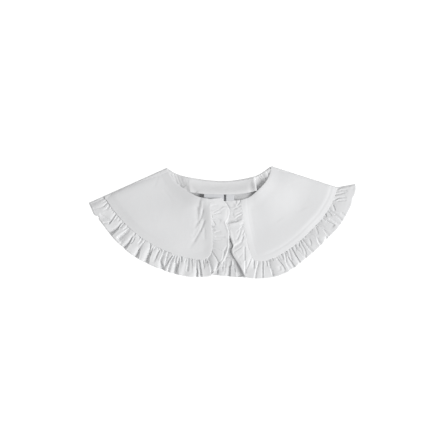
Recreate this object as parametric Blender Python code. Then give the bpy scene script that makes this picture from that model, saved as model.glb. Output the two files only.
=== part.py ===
"""Detachable cotton collar with a gathered ruffle, laid flat with its front up.

Metres, +Z up, +X to the right of someone looking down at the front, +Y towards the back neck.
The back lies on the ground with its inside up. The neck band and the labels lie on it, and the
two fronts are folded over it at the shoulders. A gathered ruffle follows every hem and both
front edges, where the left frill overlaps the right one.
"""

import math

import bmesh
import bpy
import numpy as np

MM = 0.001

# Cloth, heights and gaps, mm
WALL = 1.0
RUFFLE_WALL = 1.4
LAYER_GAP = 0.3
SEAM_GAP = 0.6
FRONT_TOP = 3.6
BAND_TOP = WALL + LAYER_GAP + WALL

# Each front rises over the back ruffle towards its hem, and as much towards its front edge.
# The rise starts at these shares of the way there.
SEAM_RISE = 1.0
HEM_RISE_START = 0.5
EDGE_RISE_START = 0.8

# Shoulder folds, mm: how far inside the fold line the cloth starts to turn, how far it runs on
# past the line before it is turned under, and where the back pieces start
FOLD_INSET = 3.4
FOLD_RUN = 8.0
BACK_INSET = 6.4
FOLD_COLUMNS = 8

# Gathers: pitch and depth in mm, how far out the shortest and longest run as shares of the
# ruffle's width, how deep they start at the seam, and where they are full
GATHER_PITCH = 5.2
BACK_GATHER_PITCH = 6.4
GATHER_DEPTH = 1.3
SHORT_REACH = 0.3
LONG_REACH = 0.62
SEAM_DEPTH_SHARE = 0.55
FULL_DEPTH_AT = 0.12
GOLDEN_SHARE = 0.618034

# Ruffles: how the crests climb from the seam, how deep the main folds start there, how far a
# fold may dip past its relief at the seam, and how much of its depth draws the free edge in
CREST_CLIMB = 0.6
FOLD_START_SHARE = 0.3
SEAM_SLACK = 0.4
SCALLOP = 0.3

# Mesh grids: columns for each gather, rows across a ruffle, and columns and rows of the panels
COLUMNS_PER_GATHER = 4
RUFFLE_ROWS = (0.0, 0.12, 0.4, 0.72, 1.0)
BACK_RUFFLE_ROWS = (0.0, 0.3, 1.0)
LEFT_FRONT_GRID = (30, 12)
RIGHT_FRONT_GRID = (24, 8)
BACK_COLUMNS = 44
BAND_COLUMNS = 30
CURVE_STEPS = 24
FINE_POINTS = 401

CLOTH_COLOUR = (0.78, 0.785, 0.79, 1.0)
LABEL_COLOUR = (0.70, 0.71, 0.72, 1.0)
CLOTH_ROUGHNESS = 0.88

# Neck edges, mm. Columns: x, y
BACK_NECK = (
    (-88.2, 87.0), (-74.2, 78.2), (-55.0, 72.4), (-26.2, 67.9), (-2.0, 66.2),
    (21.8, 67.6), (50.6, 73.4), (66.0, 81.2), (78.2, 90.2),
)
LEFT_FRONT_NECK = (
    (-88.2, 87.0), (-81.3, 73.2), (-72.0, 61.4), (-53.4, 48.7), (-39.0, 41.0), (-21.0, 37.4),
)
RIGHT_FRONT_NECK = (
    (78.2, 90.2), (75.2, 75.9), (68.6, 63.9), (56.6, 51.3), (43.5, 40.6), (29.4, 35.6),
)

# Left ruffle from the shoulder fold round the hem corner and up the front edge, mm.
# Columns: seam_x, seam_y, edge_x, edge_y, seam_top, edge_top, relief
LEFT_RUFFLE = (
    (-189.0, 41.8, -213.1, 31.1, 4.8, 5.8, 0.2),
    (-180.5, 29.0, -203.4, 10.6, 5.4, 7.2, 1.6),
    (-168.8, 13.2, -190.6, -3.4, 5.8, 8.2, 3.0),
    (-155.8, -1.6, -176.8, -21.6, 5.8, 8.6, 3.6),
    (-141.3, -15.1, -160.5, -38.2, 5.8, 8.6, 3.8),
    (-123.4, -28.4, -140.1, -54.6, 5.8, 8.6, 3.8),
    (-103.8, -39.4, -116.9, -66.9, 5.8, 8.6, 3.8),
    (-82.2, -48.9, -92.6, -77.1, 5.8, 8.6, 3.8),
    (-61.6, -55.2, -69.6, -83.8, 5.8, 8.6, 3.8),
    (-43.0, -59.2, -46.4, -87.4, 5.8, 8.4, 3.6),
    (-28.6, -58.6, -28.4, -87.0, 5.8, 8.2, 3.2),
    (-19.6, -53.2, -13.6, -82.8, 5.8, 8.0, 2.6),
    (-16.2, -42.0, 1.6, -61.0, 5.6, 7.8, 2.0),
    (-15.9, -25.0, 10.0, -35.0, 5.4, 7.8, 1.2),
    (-17.2, -5.0, 9.6, -12.0, 5.4, 7.9, 1.0),
    (-18.2, 17.0, 7.0, 14.0, 5.4, 8.0, 1.0),
    (-21.0, 37.4, -1.4, 38.5, 5.2, 7.8, 0.8),
)

# Right ruffle, the same way round: shoulder, hem, corner, front edge, neck
RIGHT_RUFFLE = (
    (183.7, 56.2, 212.4, 61.4, 4.8, 5.8, 0.2),
    (180.2, 43.0, 212.0, 44.6, 5.4, 7.0, 1.4),
    (172.8, 27.0, 204.4, 24.0, 5.8, 8.0, 2.6),
    (160.6, 8.0, 187.4, -5.4, 5.8, 8.4, 3.4),
    (145.4, -8.6, 167.4, -26.4, 5.8, 8.6, 3.8),
    (127.8, -26.0, 146.6, -47.0, 5.8, 8.6, 3.8),
    (110.6, -40.0, 127.4, -62.4, 5.8, 8.6, 3.8),
    (92.5, -51.4, 107.2, -78.0, 5.8, 8.6, 3.8),
    (75.6, -59.6, 84.0, -87.0, 5.8, 8.6, 3.6),
    (62.0, -62.6, 61.0, -89.7, 5.8, 8.4, 3.4),
    (51.2, -60.4, 43.4, -89.0, 5.8, 8.0, 3.0),
    (44.8, -50.6, 33.4, -76.6, 5.6, 7.6, 2.2),
    (40.9, -36.0, 16.6, -48.6, 5.4, 7.0, 1.6),
    (37.2, -19.0, 15.2, -28.6, 5.4, 6.2, 1.2),
    (33.8, -2.0, 5.6, -6.0, 5.4, 5.4, 0.9),
    (31.4, 16.0, 0.6, 14.0, 5.4, 4.9, 0.7),
    (29.4, 35.6, -0.6, 31.6, 5.2, 4.8, 0.6),
)

# Back ruffle from the left fold to the right fold
BACK_RUFFLE = (
    (-189.0, 41.8, -211.6, 31.8, 1.6, 1.8, 0.3),
    (-180.5, 29.0, -201.8, 12.0, 2.2, 2.8, 1.4),
    (-155.8, -1.6, -175.6, -20.4, 2.3, 3.0, 1.9),
    (-123.4, -28.4, -139.2, -53.2, 2.3, 3.0, 1.9),
    (-82.2, -48.9, -92.2, -75.6, 2.3, 3.0, 1.9),
    (-43.0, -59.2, -46.0, -85.8, 2.3, 3.0, 1.9),
    (-14.0, -58.4, -15.0, -84.0, 2.4, 3.4, 2.3),
    (10.6, -57.6, 10.6, -86.6, 2.8, 4.0, 3.0),
    (34.0, -58.6, 35.0, -88.4, 2.4, 3.4, 2.3),
    (75.6, -59.6, 83.2, -85.4, 2.3, 3.0, 1.9),
    (110.6, -40.0, 126.6, -61.0, 2.3, 3.0, 1.9),
    (145.4, -8.6, 166.2, -25.6, 2.3, 3.0, 1.9),
    (172.8, 27.0, 202.8, 24.0, 2.2, 2.8, 1.4),
    (183.7, 56.2, 210.8, 61.0, 1.6, 1.8, 0.3),
)

# Main folds of the ruffles, mm. Columns: seam_x, seam_y, edge_x, edge_y, depth (share), width
LEFT_FOLDS = (
    (-184.0, 31.6, -199.4, 24.0, 0.5, 1.8),
    (-170.1, 13.7, -187.0, -4.0, 0.9, 1.8),
    (-157.4, 1.5, -177.4, -17.0, 1.0, 2.6),
    (-147.0, -11.0, -166.0, -29.0, 1.0, 3.2),
    (-140.0, -17.0, -155.4, -40.0, 0.9, 1.8),
    (-124.0, -29.0, -138.2, -54.0, 1.0, 2.2),
    (-115.4, -33.7, -122.9, -62.0, 1.0, 2.8),
    (-101.4, -42.0, -109.0, -68.0, 0.5, 1.6),
    (-94.1, -45.8, -98.2, -73.0, 1.0, 2.2),
    (-76.8, -52.6, -86.6, -76.0, 0.7, 1.8),
    (-71.6, -54.8, -75.4, -81.0, 1.0, 3.2),
    (-54.7, -57.5, -57.6, -82.0, 0.7, 1.8),
    (-41.8, -60.7, -41.8, -86.0, 1.0, 2.0),
    (-37.6, -60.7, -34.4, -86.0, 1.0, 1.8),
    (-22.9, -56.4, -16.0, -79.0, 0.9, 1.8),
    (-16.0, -48.0, -4.6, -66.0, 0.9, 1.8),
    (-13.6, -41.0, 4.4, -50.6, 0.8, 1.8),
    (-15.0, -16.0, 8.0, -12.4, 0.7, 1.8),
    (-15.6, -25.0, 8.0, -22.0, 0.6, 1.6),
    (-17.4, 14.0, 2.0, 20.6, 0.6, 1.8),
    (-16.5, 6.2, 0.0, 3.0, 0.5, 1.6),
)
RIGHT_FOLDS = (
    (184.8, 52.4, 204.0, 57.0, 0.6, 1.8),
    (181.1, 36.2, 198.0, 38.6, 0.7, 2.0),
    (176.4, 27.0, 198.4, 11.4, 0.7, 2.0),
    (170.1, 19.6, 193.0, 1.4, 1.0, 2.0),
    (166.0, 9.6, 187.0, -5.0, 0.8, 2.0),
    (160.8, 5.8, 178.4, -4.6, 0.9, 2.8),
    (149.0, -6.0, 172.4, -23.2, 0.8, 2.0),
    (128.6, -28.1, 145.0, -49.4, 1.0, 2.2),
    (121.6, -34.4, 134.0, -57.0, 0.8, 2.0),
    (109.4, -41.5, 124.8, -64.4, 1.0, 1.9),
    (99.7, -49.7, 113.0, -73.4, 1.0, 3.0),
    (85.8, -55.3, 101.6, -78.0, 0.9, 2.2),
    (74.4, -60.2, 81.4, -86.0, 1.0, 2.0),
    (64.6, -62.6, 64.6, -88.0, 1.0, 2.0),
    (58.6, -63.6, 52.0, -88.0, 1.0, 2.2),
    (38.6, -42.0, 37.0, -84.0, 1.0, 2.0),
    (37.0, -20.0, 22.0, -38.0, 0.9, 2.2),
    (33.6, -8.6, 22.0, -25.0, 0.7, 1.8),
    (31.0, 2.3, 9.0, 0.6, 1.0, 1.6),
    (31.4, 11.0, 15.0, 4.6, 0.7, 1.6),
    (30.2, 24.0, 14.0, 17.0, 0.6, 1.6),
)
BACK_FOLDS = (
    (-160.0, 3.0, -181.0, -14.0, 1.0, 3.0),
    (-128.0, -25.6, -144.0, -50.0, 1.0, 3.0),
    (-90.0, -46.0, -99.0, -72.0, 1.0, 3.0),
    (-52.0, -57.6, -56.0, -84.0, 1.0, 3.0),
    (-6.0, -58.2, -7.0, -84.6, 1.0, 1.9),
    (4.4, -57.8, 4.0, -86.0, 1.0, 1.9),
    (10.8, -57.6, 10.4, -86.4, 1.0, 1.9),
    (20.6, -58.0, 22.0, -87.0, 1.0, 2.2),
    (27.6, -58.4, 29.6, -87.6, 1.0, 2.2),
    (68.0, -61.4, 72.0, -87.0, 1.0, 3.0),
    (103.0, -45.4, 117.0, -68.0, 1.0, 3.0),
    (138.0, -16.0, 158.0, -34.0, 1.0, 3.0),
    (165.0, 14.0, 193.0, 6.0, 1.0, 3.0),
)

# Nicks where a fold draws the free edge in, mm. Columns: x, y, depth, width
LEFT_NICKS = ((-198.6, 7.6, 4.6, 3.4), (-13.0, -84.0, 2.4, 4.0))
RIGHT_NICKS = ((209.6, 39.0, 1.8, 3.4), (164.6, -28.6, 1.6, 2.6), (19.2, -40.6, 3.0, 4.0))

# Creases pressed into the left front beside its front edge, mm. Columns: as the folds above
LEFT_CREASES = (
    (-35.0, 33.0, -39.5, 4.0, 0.8, 4.2),
    (-30.0, 22.0, -43.0, -4.0, 0.7, 4.2),
    (-29.4, 4.0, -52.0, -37.0, 0.8, 4.4),
)
RIGHT_CREASES = (
    (64.0, 48.0, 92.0, 6.0, 0.4, 5.0),
    (110.0, 60.0, 128.0, 22.0, 0.4, 5.0),
)

# Neck band over the back neck, mm. Columns: neck_x, neck_y, low_x, low_y
NECK_BAND = (
    (-84.6, 81.6, -92.8, 65.2), (-74.2, 77.4, -82.0, 57.6), (-55.0, 71.8, -59.4, 50.0),
    (-26.2, 67.3, -28.0, 45.2), (-2.0, 65.6, -2.0, 44.4), (21.8, 67.0, 23.4, 45.0),
    (50.6, 72.8, 55.4, 50.8), (66.0, 80.6, 75.0, 60.0), (74.6, 84.8, 84.0, 68.4),
)

# Labels under the band, mm. Columns: left, right, top, bottom
LABEL_WIDE = (-29.4, 2.1, 43.6, 22.0)
LABEL_SMALL = (6.1, 18.6, 43.6, 26.0)

# Share of each seam that is hem, the rest being the front edge
LEFT_HEM_SHARE = 0.705
RIGHT_HEM_SHARE = 0.672

# How far the shoulder end of the right ruffle bows out past a straight fold, mm, and how many
# columns of a ruffle belong to its shoulder end
RIGHT_END_BOW = 2.6
END_COLUMNS = 40

# Points of the finely read back neck edge left out beside each shoulder peak
NECK_CLEAR = 4


def smooth_path(rows, count):
    """Give count rows, evenly spaced along a smooth curve through the rows of a table."""
    knots = np.array(rows, dtype=float)
    padded = np.vstack([2.0 * knots[0] - knots[1], knots, 2.0 * knots[-1] - knots[-2]])
    fine = []
    for before, start, end, after in zip(padded, padded[1:], padded[2:], padded[3:]):
        for share in np.linspace(0.0, 1.0, CURVE_STEPS, endpoint=False):
            slope_in = 0.5 * (end - before)
            slope_out = 0.5 * (after - start)
            cubic = 2.0 * start - 2.0 * end + slope_in + slope_out
            square = -3.0 * start + 3.0 * end - 2.0 * slope_in - slope_out
            fine.append(((cubic * share + square) * share + slope_in) * share + start)
    fine.append(knots[-1])
    fine = np.array(fine)
    steps = np.hypot(*np.diff(fine[:, :2], axis=0).T)
    length = np.concatenate([[0.0], np.cumsum(steps)])
    wanted = np.linspace(0.0, length[-1], count)
    return np.column_stack([np.interp(wanted, length, column) for column in fine.T])


def path_length(rows):
    """Measure the smooth curve through the first two columns of a table."""
    path = smooth_path(rows, FINE_POINTS)
    return float(np.hypot(*np.diff(path[:, :2], axis=0).T).sum())


def ease(share):
    """Rise from 0 to 1 with no slope at either end."""
    share = min(max(share, 0.0), 1.0)
    return share * share * (3.0 - 2.0 * share)


def trough(point, folds, run_in):
    """Sum how deep a point lies in the folds of a table, as a share of their full depth."""
    total = 0.0
    for start_x, start_y, end_x, end_y, depth, width in folds:
        along = np.array([end_x - start_x, end_y - start_y])
        offset = point - np.array([start_x, start_y])
        share = float(offset @ along / (along @ along))
        nearest = min(max(share, 0.0), 1.0)
        gap = float(np.hypot(*(offset - nearest * along)))
        total += depth * (run_in + (1.0 - run_in) * nearest) * math.exp(-(gap / width) ** 2)
    return min(total, 1.0)


class ShoulderFold:
    """A straight fold line that turns cloth down and under at its outer side."""

    def __init__(self, start, end, inside):
        self.start = np.array(start, dtype=float)
        along = np.array(end, dtype=float) - self.start
        normal = np.array([-along[1], along[0]]) / np.hypot(*along)
        if normal @ (np.array(inside, dtype=float) - self.start) > 0.0:
            normal = -normal
        self.outward = normal

    def inset(self, point, distance):
        """Move a point straight in from the fold line."""
        return np.array(point, dtype=float) - self.outward * distance

    def turn(self, point, top, depth):
        """Place cloth whose outer face is at height top, depth below that face."""
        radius = 0.5 * top
        inside = float((self.start - point) @ self.outward)
        if inside >= radius:
            return (point[0], point[1], top - depth)
        angle = (radius - inside) / radius
        if angle <= math.pi:
            turned = radius - (radius - depth) * math.sin(angle)
            height = radius + (radius - depth) * math.cos(angle)
        else:
            turned = radius + (radius - inside) - math.pi * radius
            height = depth
        moved = point + self.outward * (inside - turned)
        return (moved[0], moved[1], height)


LEFT_FOLD = ShoulderFold(BACK_NECK[0], LEFT_RUFFLE[0][:2], (0.0, 0.0))
RIGHT_FOLD = ShoulderFold(BACK_NECK[-1], RIGHT_RUFFLE[0][:2], (0.0, 0.0))
RIGHT_RUFFLE_FOLD = ShoulderFold(RIGHT_RUFFLE[0][:2], RIGHT_RUFFLE[0][2:4], (0.0, 0.0))


def cloth_material(name, colour):
    """Plain cotton in one colour."""
    material = bpy.data.materials.new(name)
    material.use_nodes = True
    shader = material.node_tree.nodes["Principled BSDF"]
    shader.inputs["Base Color"].default_value = colour
    shader.inputs["Roughness"].default_value = CLOTH_ROUGHNESS
    shader.inputs["Metallic"].default_value = 0.0
    return material


def cloth_wall(name, columns, rows, outer, inner, collection, colour=CLOTH_COLOUR):
    """Close a wall of cloth between two faces, each a function of column and row number."""
    bm = bmesh.new()
    bmesh.ops.create_grid(bm, x_segments=columns, y_segments=rows, size=1.0)
    sheet = bm.verts[:]
    place_of = {}
    for vert in sheet:
        column = round((vert.co.x + 1.0) * 0.5 * columns)
        row = round((vert.co.y + 1.0) * 0.5 * rows)
        place_of[vert] = (column, row)
    copied = bmesh.ops.extrude_face_region(bm, geom=bm.faces[:])
    raised = [item for item in copied["geom"] if isinstance(item, bmesh.types.BMVert)]
    for vert in raised:
        column = round((vert.co.x + 1.0) * 0.5 * columns)
        row = round((vert.co.y + 1.0) * 0.5 * rows)
        vert.co = [MM * value for value in outer(column, row)]
    for vert, (column, row) in place_of.items():
        vert.co = [MM * value for value in inner(column, row)]
    bmesh.ops.recalc_face_normals(bm, faces=bm.faces[:])
    mesh = bpy.data.meshes.new(name)
    bm.to_mesh(mesh)
    bm.free()
    mesh.shade_smooth()
    mesh.materials.append(cloth_material(name, colour))
    piece = bpy.data.objects.new(name, mesh)
    collection.objects.link(piece)
    return piece


def patch_point(across, down, neck, hem, shoulder, front):
    """Blend four edge curves into one panel: across from shoulder to front, down from the neck."""
    sides = (1.0 - across) * shoulder(down) + across * front(down)
    ends = (1.0 - down) * neck(across) + down * hem(across)
    upper = (1.0 - across) * neck(0.0) + across * neck(1.0)
    lower = (1.0 - across) * hem(0.0) + across * hem(1.0)
    return sides + ends - (1.0 - down) * upper - down * lower


def curve_reader(points):
    """Read a point of a polyline by its share of the way along."""
    points = np.array(points, dtype=float)[:, :2]
    marks = np.linspace(0.0, 1.0, len(points))

    def read(share):
        return np.array([np.interp(share, marks, points[:, 0]), np.interp(share, marks, points[:, 1])])

    return read


def build_front(name, neck_rows, ruffle_rows, hem_share, fold, creases, grid, collection):
    """A front panel with its shoulder edge turned round the fold and laid under."""
    columns, rows = grid
    seam = smooth_path(ruffle_rows, FINE_POINTS)
    corner = round(hem_share * (FINE_POINTS - 1))
    neck_path = smooth_path(neck_rows, FINE_POINTS)
    hem_path = seam[: corner + 1].copy()
    for path in (neck_path, hem_path):
        path[0, :2] = fold.inset(path[0, :2], FOLD_INSET)
    neck = curve_reader(neck_path)
    hem = curve_reader(hem_path)
    shoulder = curve_reader([neck(0.0), hem(0.0)])
    front = curve_reader(seam[corner:][::-1])

    def plan(column, row):
        down = row / rows
        if column >= FOLD_COLUMNS:
            across = (column - FOLD_COLUMNS) / columns
            return across, down, patch_point(across, down, neck, hem, shoulder, front)
        run = (1.0 - column / FOLD_COLUMNS) * (FOLD_INSET + FOLD_RUN)
        return 0.0, down, shoulder(down) + fold.outward * run

    def place(column, row, depth):
        across, down, point = plan(column, row)
        hem_rise = ease((down - HEM_RISE_START) / (1.0 - HEM_RISE_START))
        edge_rise = ease((across - EDGE_RISE_START) / (1.0 - EDGE_RISE_START))
        rise = SEAM_RISE * (1.0 - (1.0 - hem_rise) * (1.0 - edge_rise))
        return fold.turn(point, FRONT_TOP + rise - trough(point, creases, 1.0), depth)

    def outer(column, row):
        return place(column, row, 0.0)

    def inner(column, row):
        return place(column, row, WALL)

    return cloth_wall(name, FOLD_COLUMNS + columns, rows, outer, inner, collection)


def gather_drop(index, out):
    """Depth below the crests of a gather, index counting gathers along the seam."""
    number = round(index)
    uneven = (number * GOLDEN_SHARE) % 1.0
    reach = SHORT_REACH + (LONG_REACH - SHORT_REACH) * uneven
    valley = 0.5 + 0.5 * math.cos(2.0 * math.pi * (index - number))
    start = SEAM_DEPTH_SHARE + (1.0 - SEAM_DEPTH_SHARE) * ease(out / FULL_DEPTH_AT)
    return GATHER_DEPTH * (0.8 + 0.4 * uneven) * valley * start * ease(1.0 - out / reach)


def inset_row(row, fold, distance):
    """Move the seam and edge points of a table row straight in from a fold line."""
    seam = fold.inset(row[:2], distance)
    edge = fold.inset(row[2:4], distance)
    return (*seam, *edge, *row[4:])


def nick_depth(point, nicks):
    """How far the nicks of a table draw a point of the free edge in."""
    total = 0.0
    for nick_x, nick_y, depth, width in nicks:
        gap = math.hypot(point[0] - nick_x, point[1] - nick_y)
        total += depth * math.exp(-(gap / width) ** 2)
    return total


def build_ruffle(name, table, folds, nicks, pitch, steps, fold, bow, collection):
    """A gathered strip from its seam to its free edge, turned under at a fold if one is given."""
    gathers = round(path_length(table) / pitch)
    along = gathers * COLUMNS_PER_GATHER
    path = smooth_path(table, along + 1)
    turned = FOLD_COLUMNS if fold else 0

    def place(column, row, depth):
        index = max(column - turned, 0)
        beyond = max(turned - column, 0)
        out = steps[row]
        seam_x, seam_y, edge_x, edge_y, seam_top, edge_top, relief = path[index]
        seam = np.array([seam_x, seam_y])
        width = np.array([edge_x, edge_y]) - seam
        outward = width / np.hypot(*width)
        crest = seam_top + (edge_top - seam_top) * out ** CREST_CLIMB
        point = seam + outward * SEAM_GAP + (width - outward * SEAM_GAP) * out
        drop = relief * trough(point, folds, FOLD_START_SHARE)
        drop += min(relief, 1.0) * gather_drop(index / COLUMNS_PER_GATHER, out)
        drop = min(drop, relief + (1.0 - out) * SEAM_SLACK)
        point = point - outward * (SCALLOP * drop + nick_depth(point, nicks)) * out
        if not fold:
            return (point[0], point[1], max(max(crest - drop, WALL) - depth, 0.0))
        if index > END_COLUMNS:
            return (point[0], point[1], crest - drop - depth)
        bowed = bow * 4.0 * out * (1.0 - out) * ease(1.0 - index / END_COLUMNS)
        run = beyond / FOLD_COLUMNS * (FOLD_INSET + FOLD_RUN - bowed)
        return fold.turn(point + fold.outward * (bowed + run), crest - drop, depth)

    def outer(column, row):
        return place(column, row, 0.0)

    def inner(column, row):
        return place(column, row, RUFFLE_WALL)

    return cloth_wall(name, turned + along, len(steps) - 1, outer, inner, collection)


def build_back(columns, collection):
    """The back panel, flat on the ground, its shoulder edges clear of the folded fronts."""
    hem = [row[:2] for row in BACK_RUFFLE]
    hem[0] = LEFT_FOLD.inset(hem[0], BACK_INSET)
    hem[-1] = RIGHT_FOLD.inset(hem[-1], BACK_INSET)
    hem_points = smooth_path(hem, columns + 1)
    neck = smooth_path(BACK_NECK, FINE_POINTS)[NECK_CLEAR:-NECK_CLEAR]
    picks = [round(share) for share in np.linspace(0, len(neck) - 1, columns - 1)]
    neck_points = [LEFT_FOLD.inset(BACK_NECK[0], BACK_INSET)]
    neck_points += [neck[pick] for pick in picks]
    neck_points += [RIGHT_FOLD.inset(BACK_NECK[-1], BACK_INSET)]

    def place(column, row, height):
        point = (1 - row) * np.array(neck_points[column]) + row * hem_points[column]
        return (point[0], point[1], height)

    def outer(column, row):
        return place(column, row, WALL)

    def inner(column, row):
        return place(column, row, 0.0)

    return cloth_wall("back_panel", columns, 1, outer, inner, collection)


def build_band(columns, collection):
    """The neck band, laid on the back panel along its neck edge."""
    path = smooth_path(NECK_BAND, columns + 1)

    def place(column, row, height):
        neck_x, neck_y, low_x, low_y = path[column]
        return ((1 - row) * neck_x + row * low_x, (1 - row) * neck_y + row * low_y, height)

    def outer(column, row):
        return place(column, row, BAND_TOP)

    def inner(column, row):
        return place(column, row, BAND_TOP - WALL)

    return cloth_wall("neck_band", columns, 1, outer, inner, collection)


def build_label(name, sides, collection):
    """A bare label laid on the back panel, its upper edge at the band."""
    left, right, top, bottom = sides
    bpy.ops.mesh.primitive_cube_add(size=1.0)
    label = bpy.context.object
    label.name = name
    label.data.name = name
    middle = (0.5 * (left + right), 0.5 * (top + bottom), BAND_TOP - 0.5 * WALL)
    label.location = [MM * value for value in middle]
    label.scale = (MM * (right - left), MM * (top - bottom), MM * WALL)
    label.data.materials.append(cloth_material(name, LABEL_COLOUR))
    for holder in label.users_collection:
        holder.objects.unlink(label)
    collection.objects.link(label)
    return label


def build_all():
    """Make every piece of the collar."""
    for item in list(bpy.data.objects):
        bpy.data.objects.remove(item, do_unlink=True)
    collar = bpy.data.collections.new("ruffled_collar")
    bpy.context.scene.collection.children.link(collar)

    build_back(BACK_COLUMNS, collar)
    back_rows = list(BACK_RUFFLE)
    back_rows[0] = inset_row(back_rows[0], LEFT_FOLD, BACK_INSET)
    back_rows[-1] = inset_row(back_rows[-1], RIGHT_RUFFLE_FOLD, BACK_INSET)
    build_ruffle("back_ruffle", back_rows, BACK_FOLDS, (), BACK_GATHER_PITCH, BACK_RUFFLE_ROWS,
                 None, 0.0, collar)
    build_band(BAND_COLUMNS, collar)
    build_label("label_wide", LABEL_WIDE, collar)
    build_label("label_small", LABEL_SMALL, collar)

    build_front("front_panel_left", LEFT_FRONT_NECK, LEFT_RUFFLE, LEFT_HEM_SHARE, LEFT_FOLD,
                LEFT_CREASES, LEFT_FRONT_GRID, collar)
    build_front("front_panel_right", RIGHT_FRONT_NECK, RIGHT_RUFFLE, RIGHT_HEM_SHARE, RIGHT_FOLD,
                RIGHT_CREASES, RIGHT_FRONT_GRID, collar)
    for name, table, folds, nicks, fold, bow in (
        ("ruffle_left", LEFT_RUFFLE, LEFT_FOLDS, LEFT_NICKS, LEFT_FOLD, 0.0),
        ("ruffle_right", RIGHT_RUFFLE, RIGHT_FOLDS, RIGHT_NICKS, RIGHT_RUFFLE_FOLD, RIGHT_END_BOW),
    ):
        rows = [inset_row(table[0], fold, FOLD_INSET), *table[1:]]
        build_ruffle(name, rows, folds, nicks, GATHER_PITCH, RUFFLE_ROWS, fold, bow, collar)


build_all()
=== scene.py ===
"""White cotton collar with a gathered ruffle, laid flat on a pale floor and seen from above.

Every cloth piece is a thin shell on the solid that it replaces. Sizes in the tables and the cloth's
classes are millimetres, with X to the right of someone looking down at the front and Y towards the
back neck. Meshes, the studio, and each sheet's flat size and area are written in metres.
"""

from __future__ import annotations

import logging
import math
import random
from dataclasses import dataclass
from enum import Enum
from typing import Sequence

import bpy
import numpy as np
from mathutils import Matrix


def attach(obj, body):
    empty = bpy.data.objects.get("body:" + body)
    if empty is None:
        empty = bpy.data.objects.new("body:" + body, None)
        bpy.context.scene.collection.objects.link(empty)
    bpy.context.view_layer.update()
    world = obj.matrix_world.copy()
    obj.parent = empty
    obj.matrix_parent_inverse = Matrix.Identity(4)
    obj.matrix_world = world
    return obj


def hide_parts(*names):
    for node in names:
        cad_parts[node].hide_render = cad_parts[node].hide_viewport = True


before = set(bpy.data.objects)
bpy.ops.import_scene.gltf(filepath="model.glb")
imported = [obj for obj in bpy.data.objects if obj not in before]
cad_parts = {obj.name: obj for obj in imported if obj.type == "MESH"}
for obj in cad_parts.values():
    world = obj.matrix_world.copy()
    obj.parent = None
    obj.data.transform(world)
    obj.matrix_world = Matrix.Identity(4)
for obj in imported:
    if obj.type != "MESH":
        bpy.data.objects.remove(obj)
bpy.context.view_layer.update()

LOG = logging.getLogger("collar")
MM = 0.001
TINY = 1e-6
BODY = "root"
Rows = Sequence[Sequence[float]]

# Socket numbers of the Texture Coordinate node, and of the Mix node when it mixes colours
OBJECT_OUTPUT = 3
MIX_SHARE = 0
MIX_FIRST = 6
MIX_SECOND = 7
MIX_RESULT = 2

# Back neck edge. Columns: x, y
BACK_NECK: Rows = (
    (-88.2, 87.0), (-74.2, 78.2), (-55.0, 72.4), (-26.2, 67.9), (-2.0, 66.2),
    (21.8, 67.6), (50.6, 73.4), (66.0, 81.2), (78.2, 90.2),
)
# Front neck edges. Columns: x, y, lift
LEFT_FRONT_NECK: Rows = (
    (-88.2, 87.0, 0.0), (-81.3, 73.2, 0.5), (-72.0, 61.4, 1.6), (-53.4, 48.7, 4.4), (-39.0, 41.0, 6.4),
    (-21.0, 37.4, 6.4),
)
RIGHT_FRONT_NECK: Rows = (
    (78.2, 90.2, 0.4), (75.2, 75.9, 3.0), (68.6, 63.9, 6.0), (56.6, 51.3, 6.4), (43.5, 40.6, 3.6),
    (29.4, 35.6, 2.2),
)

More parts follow.
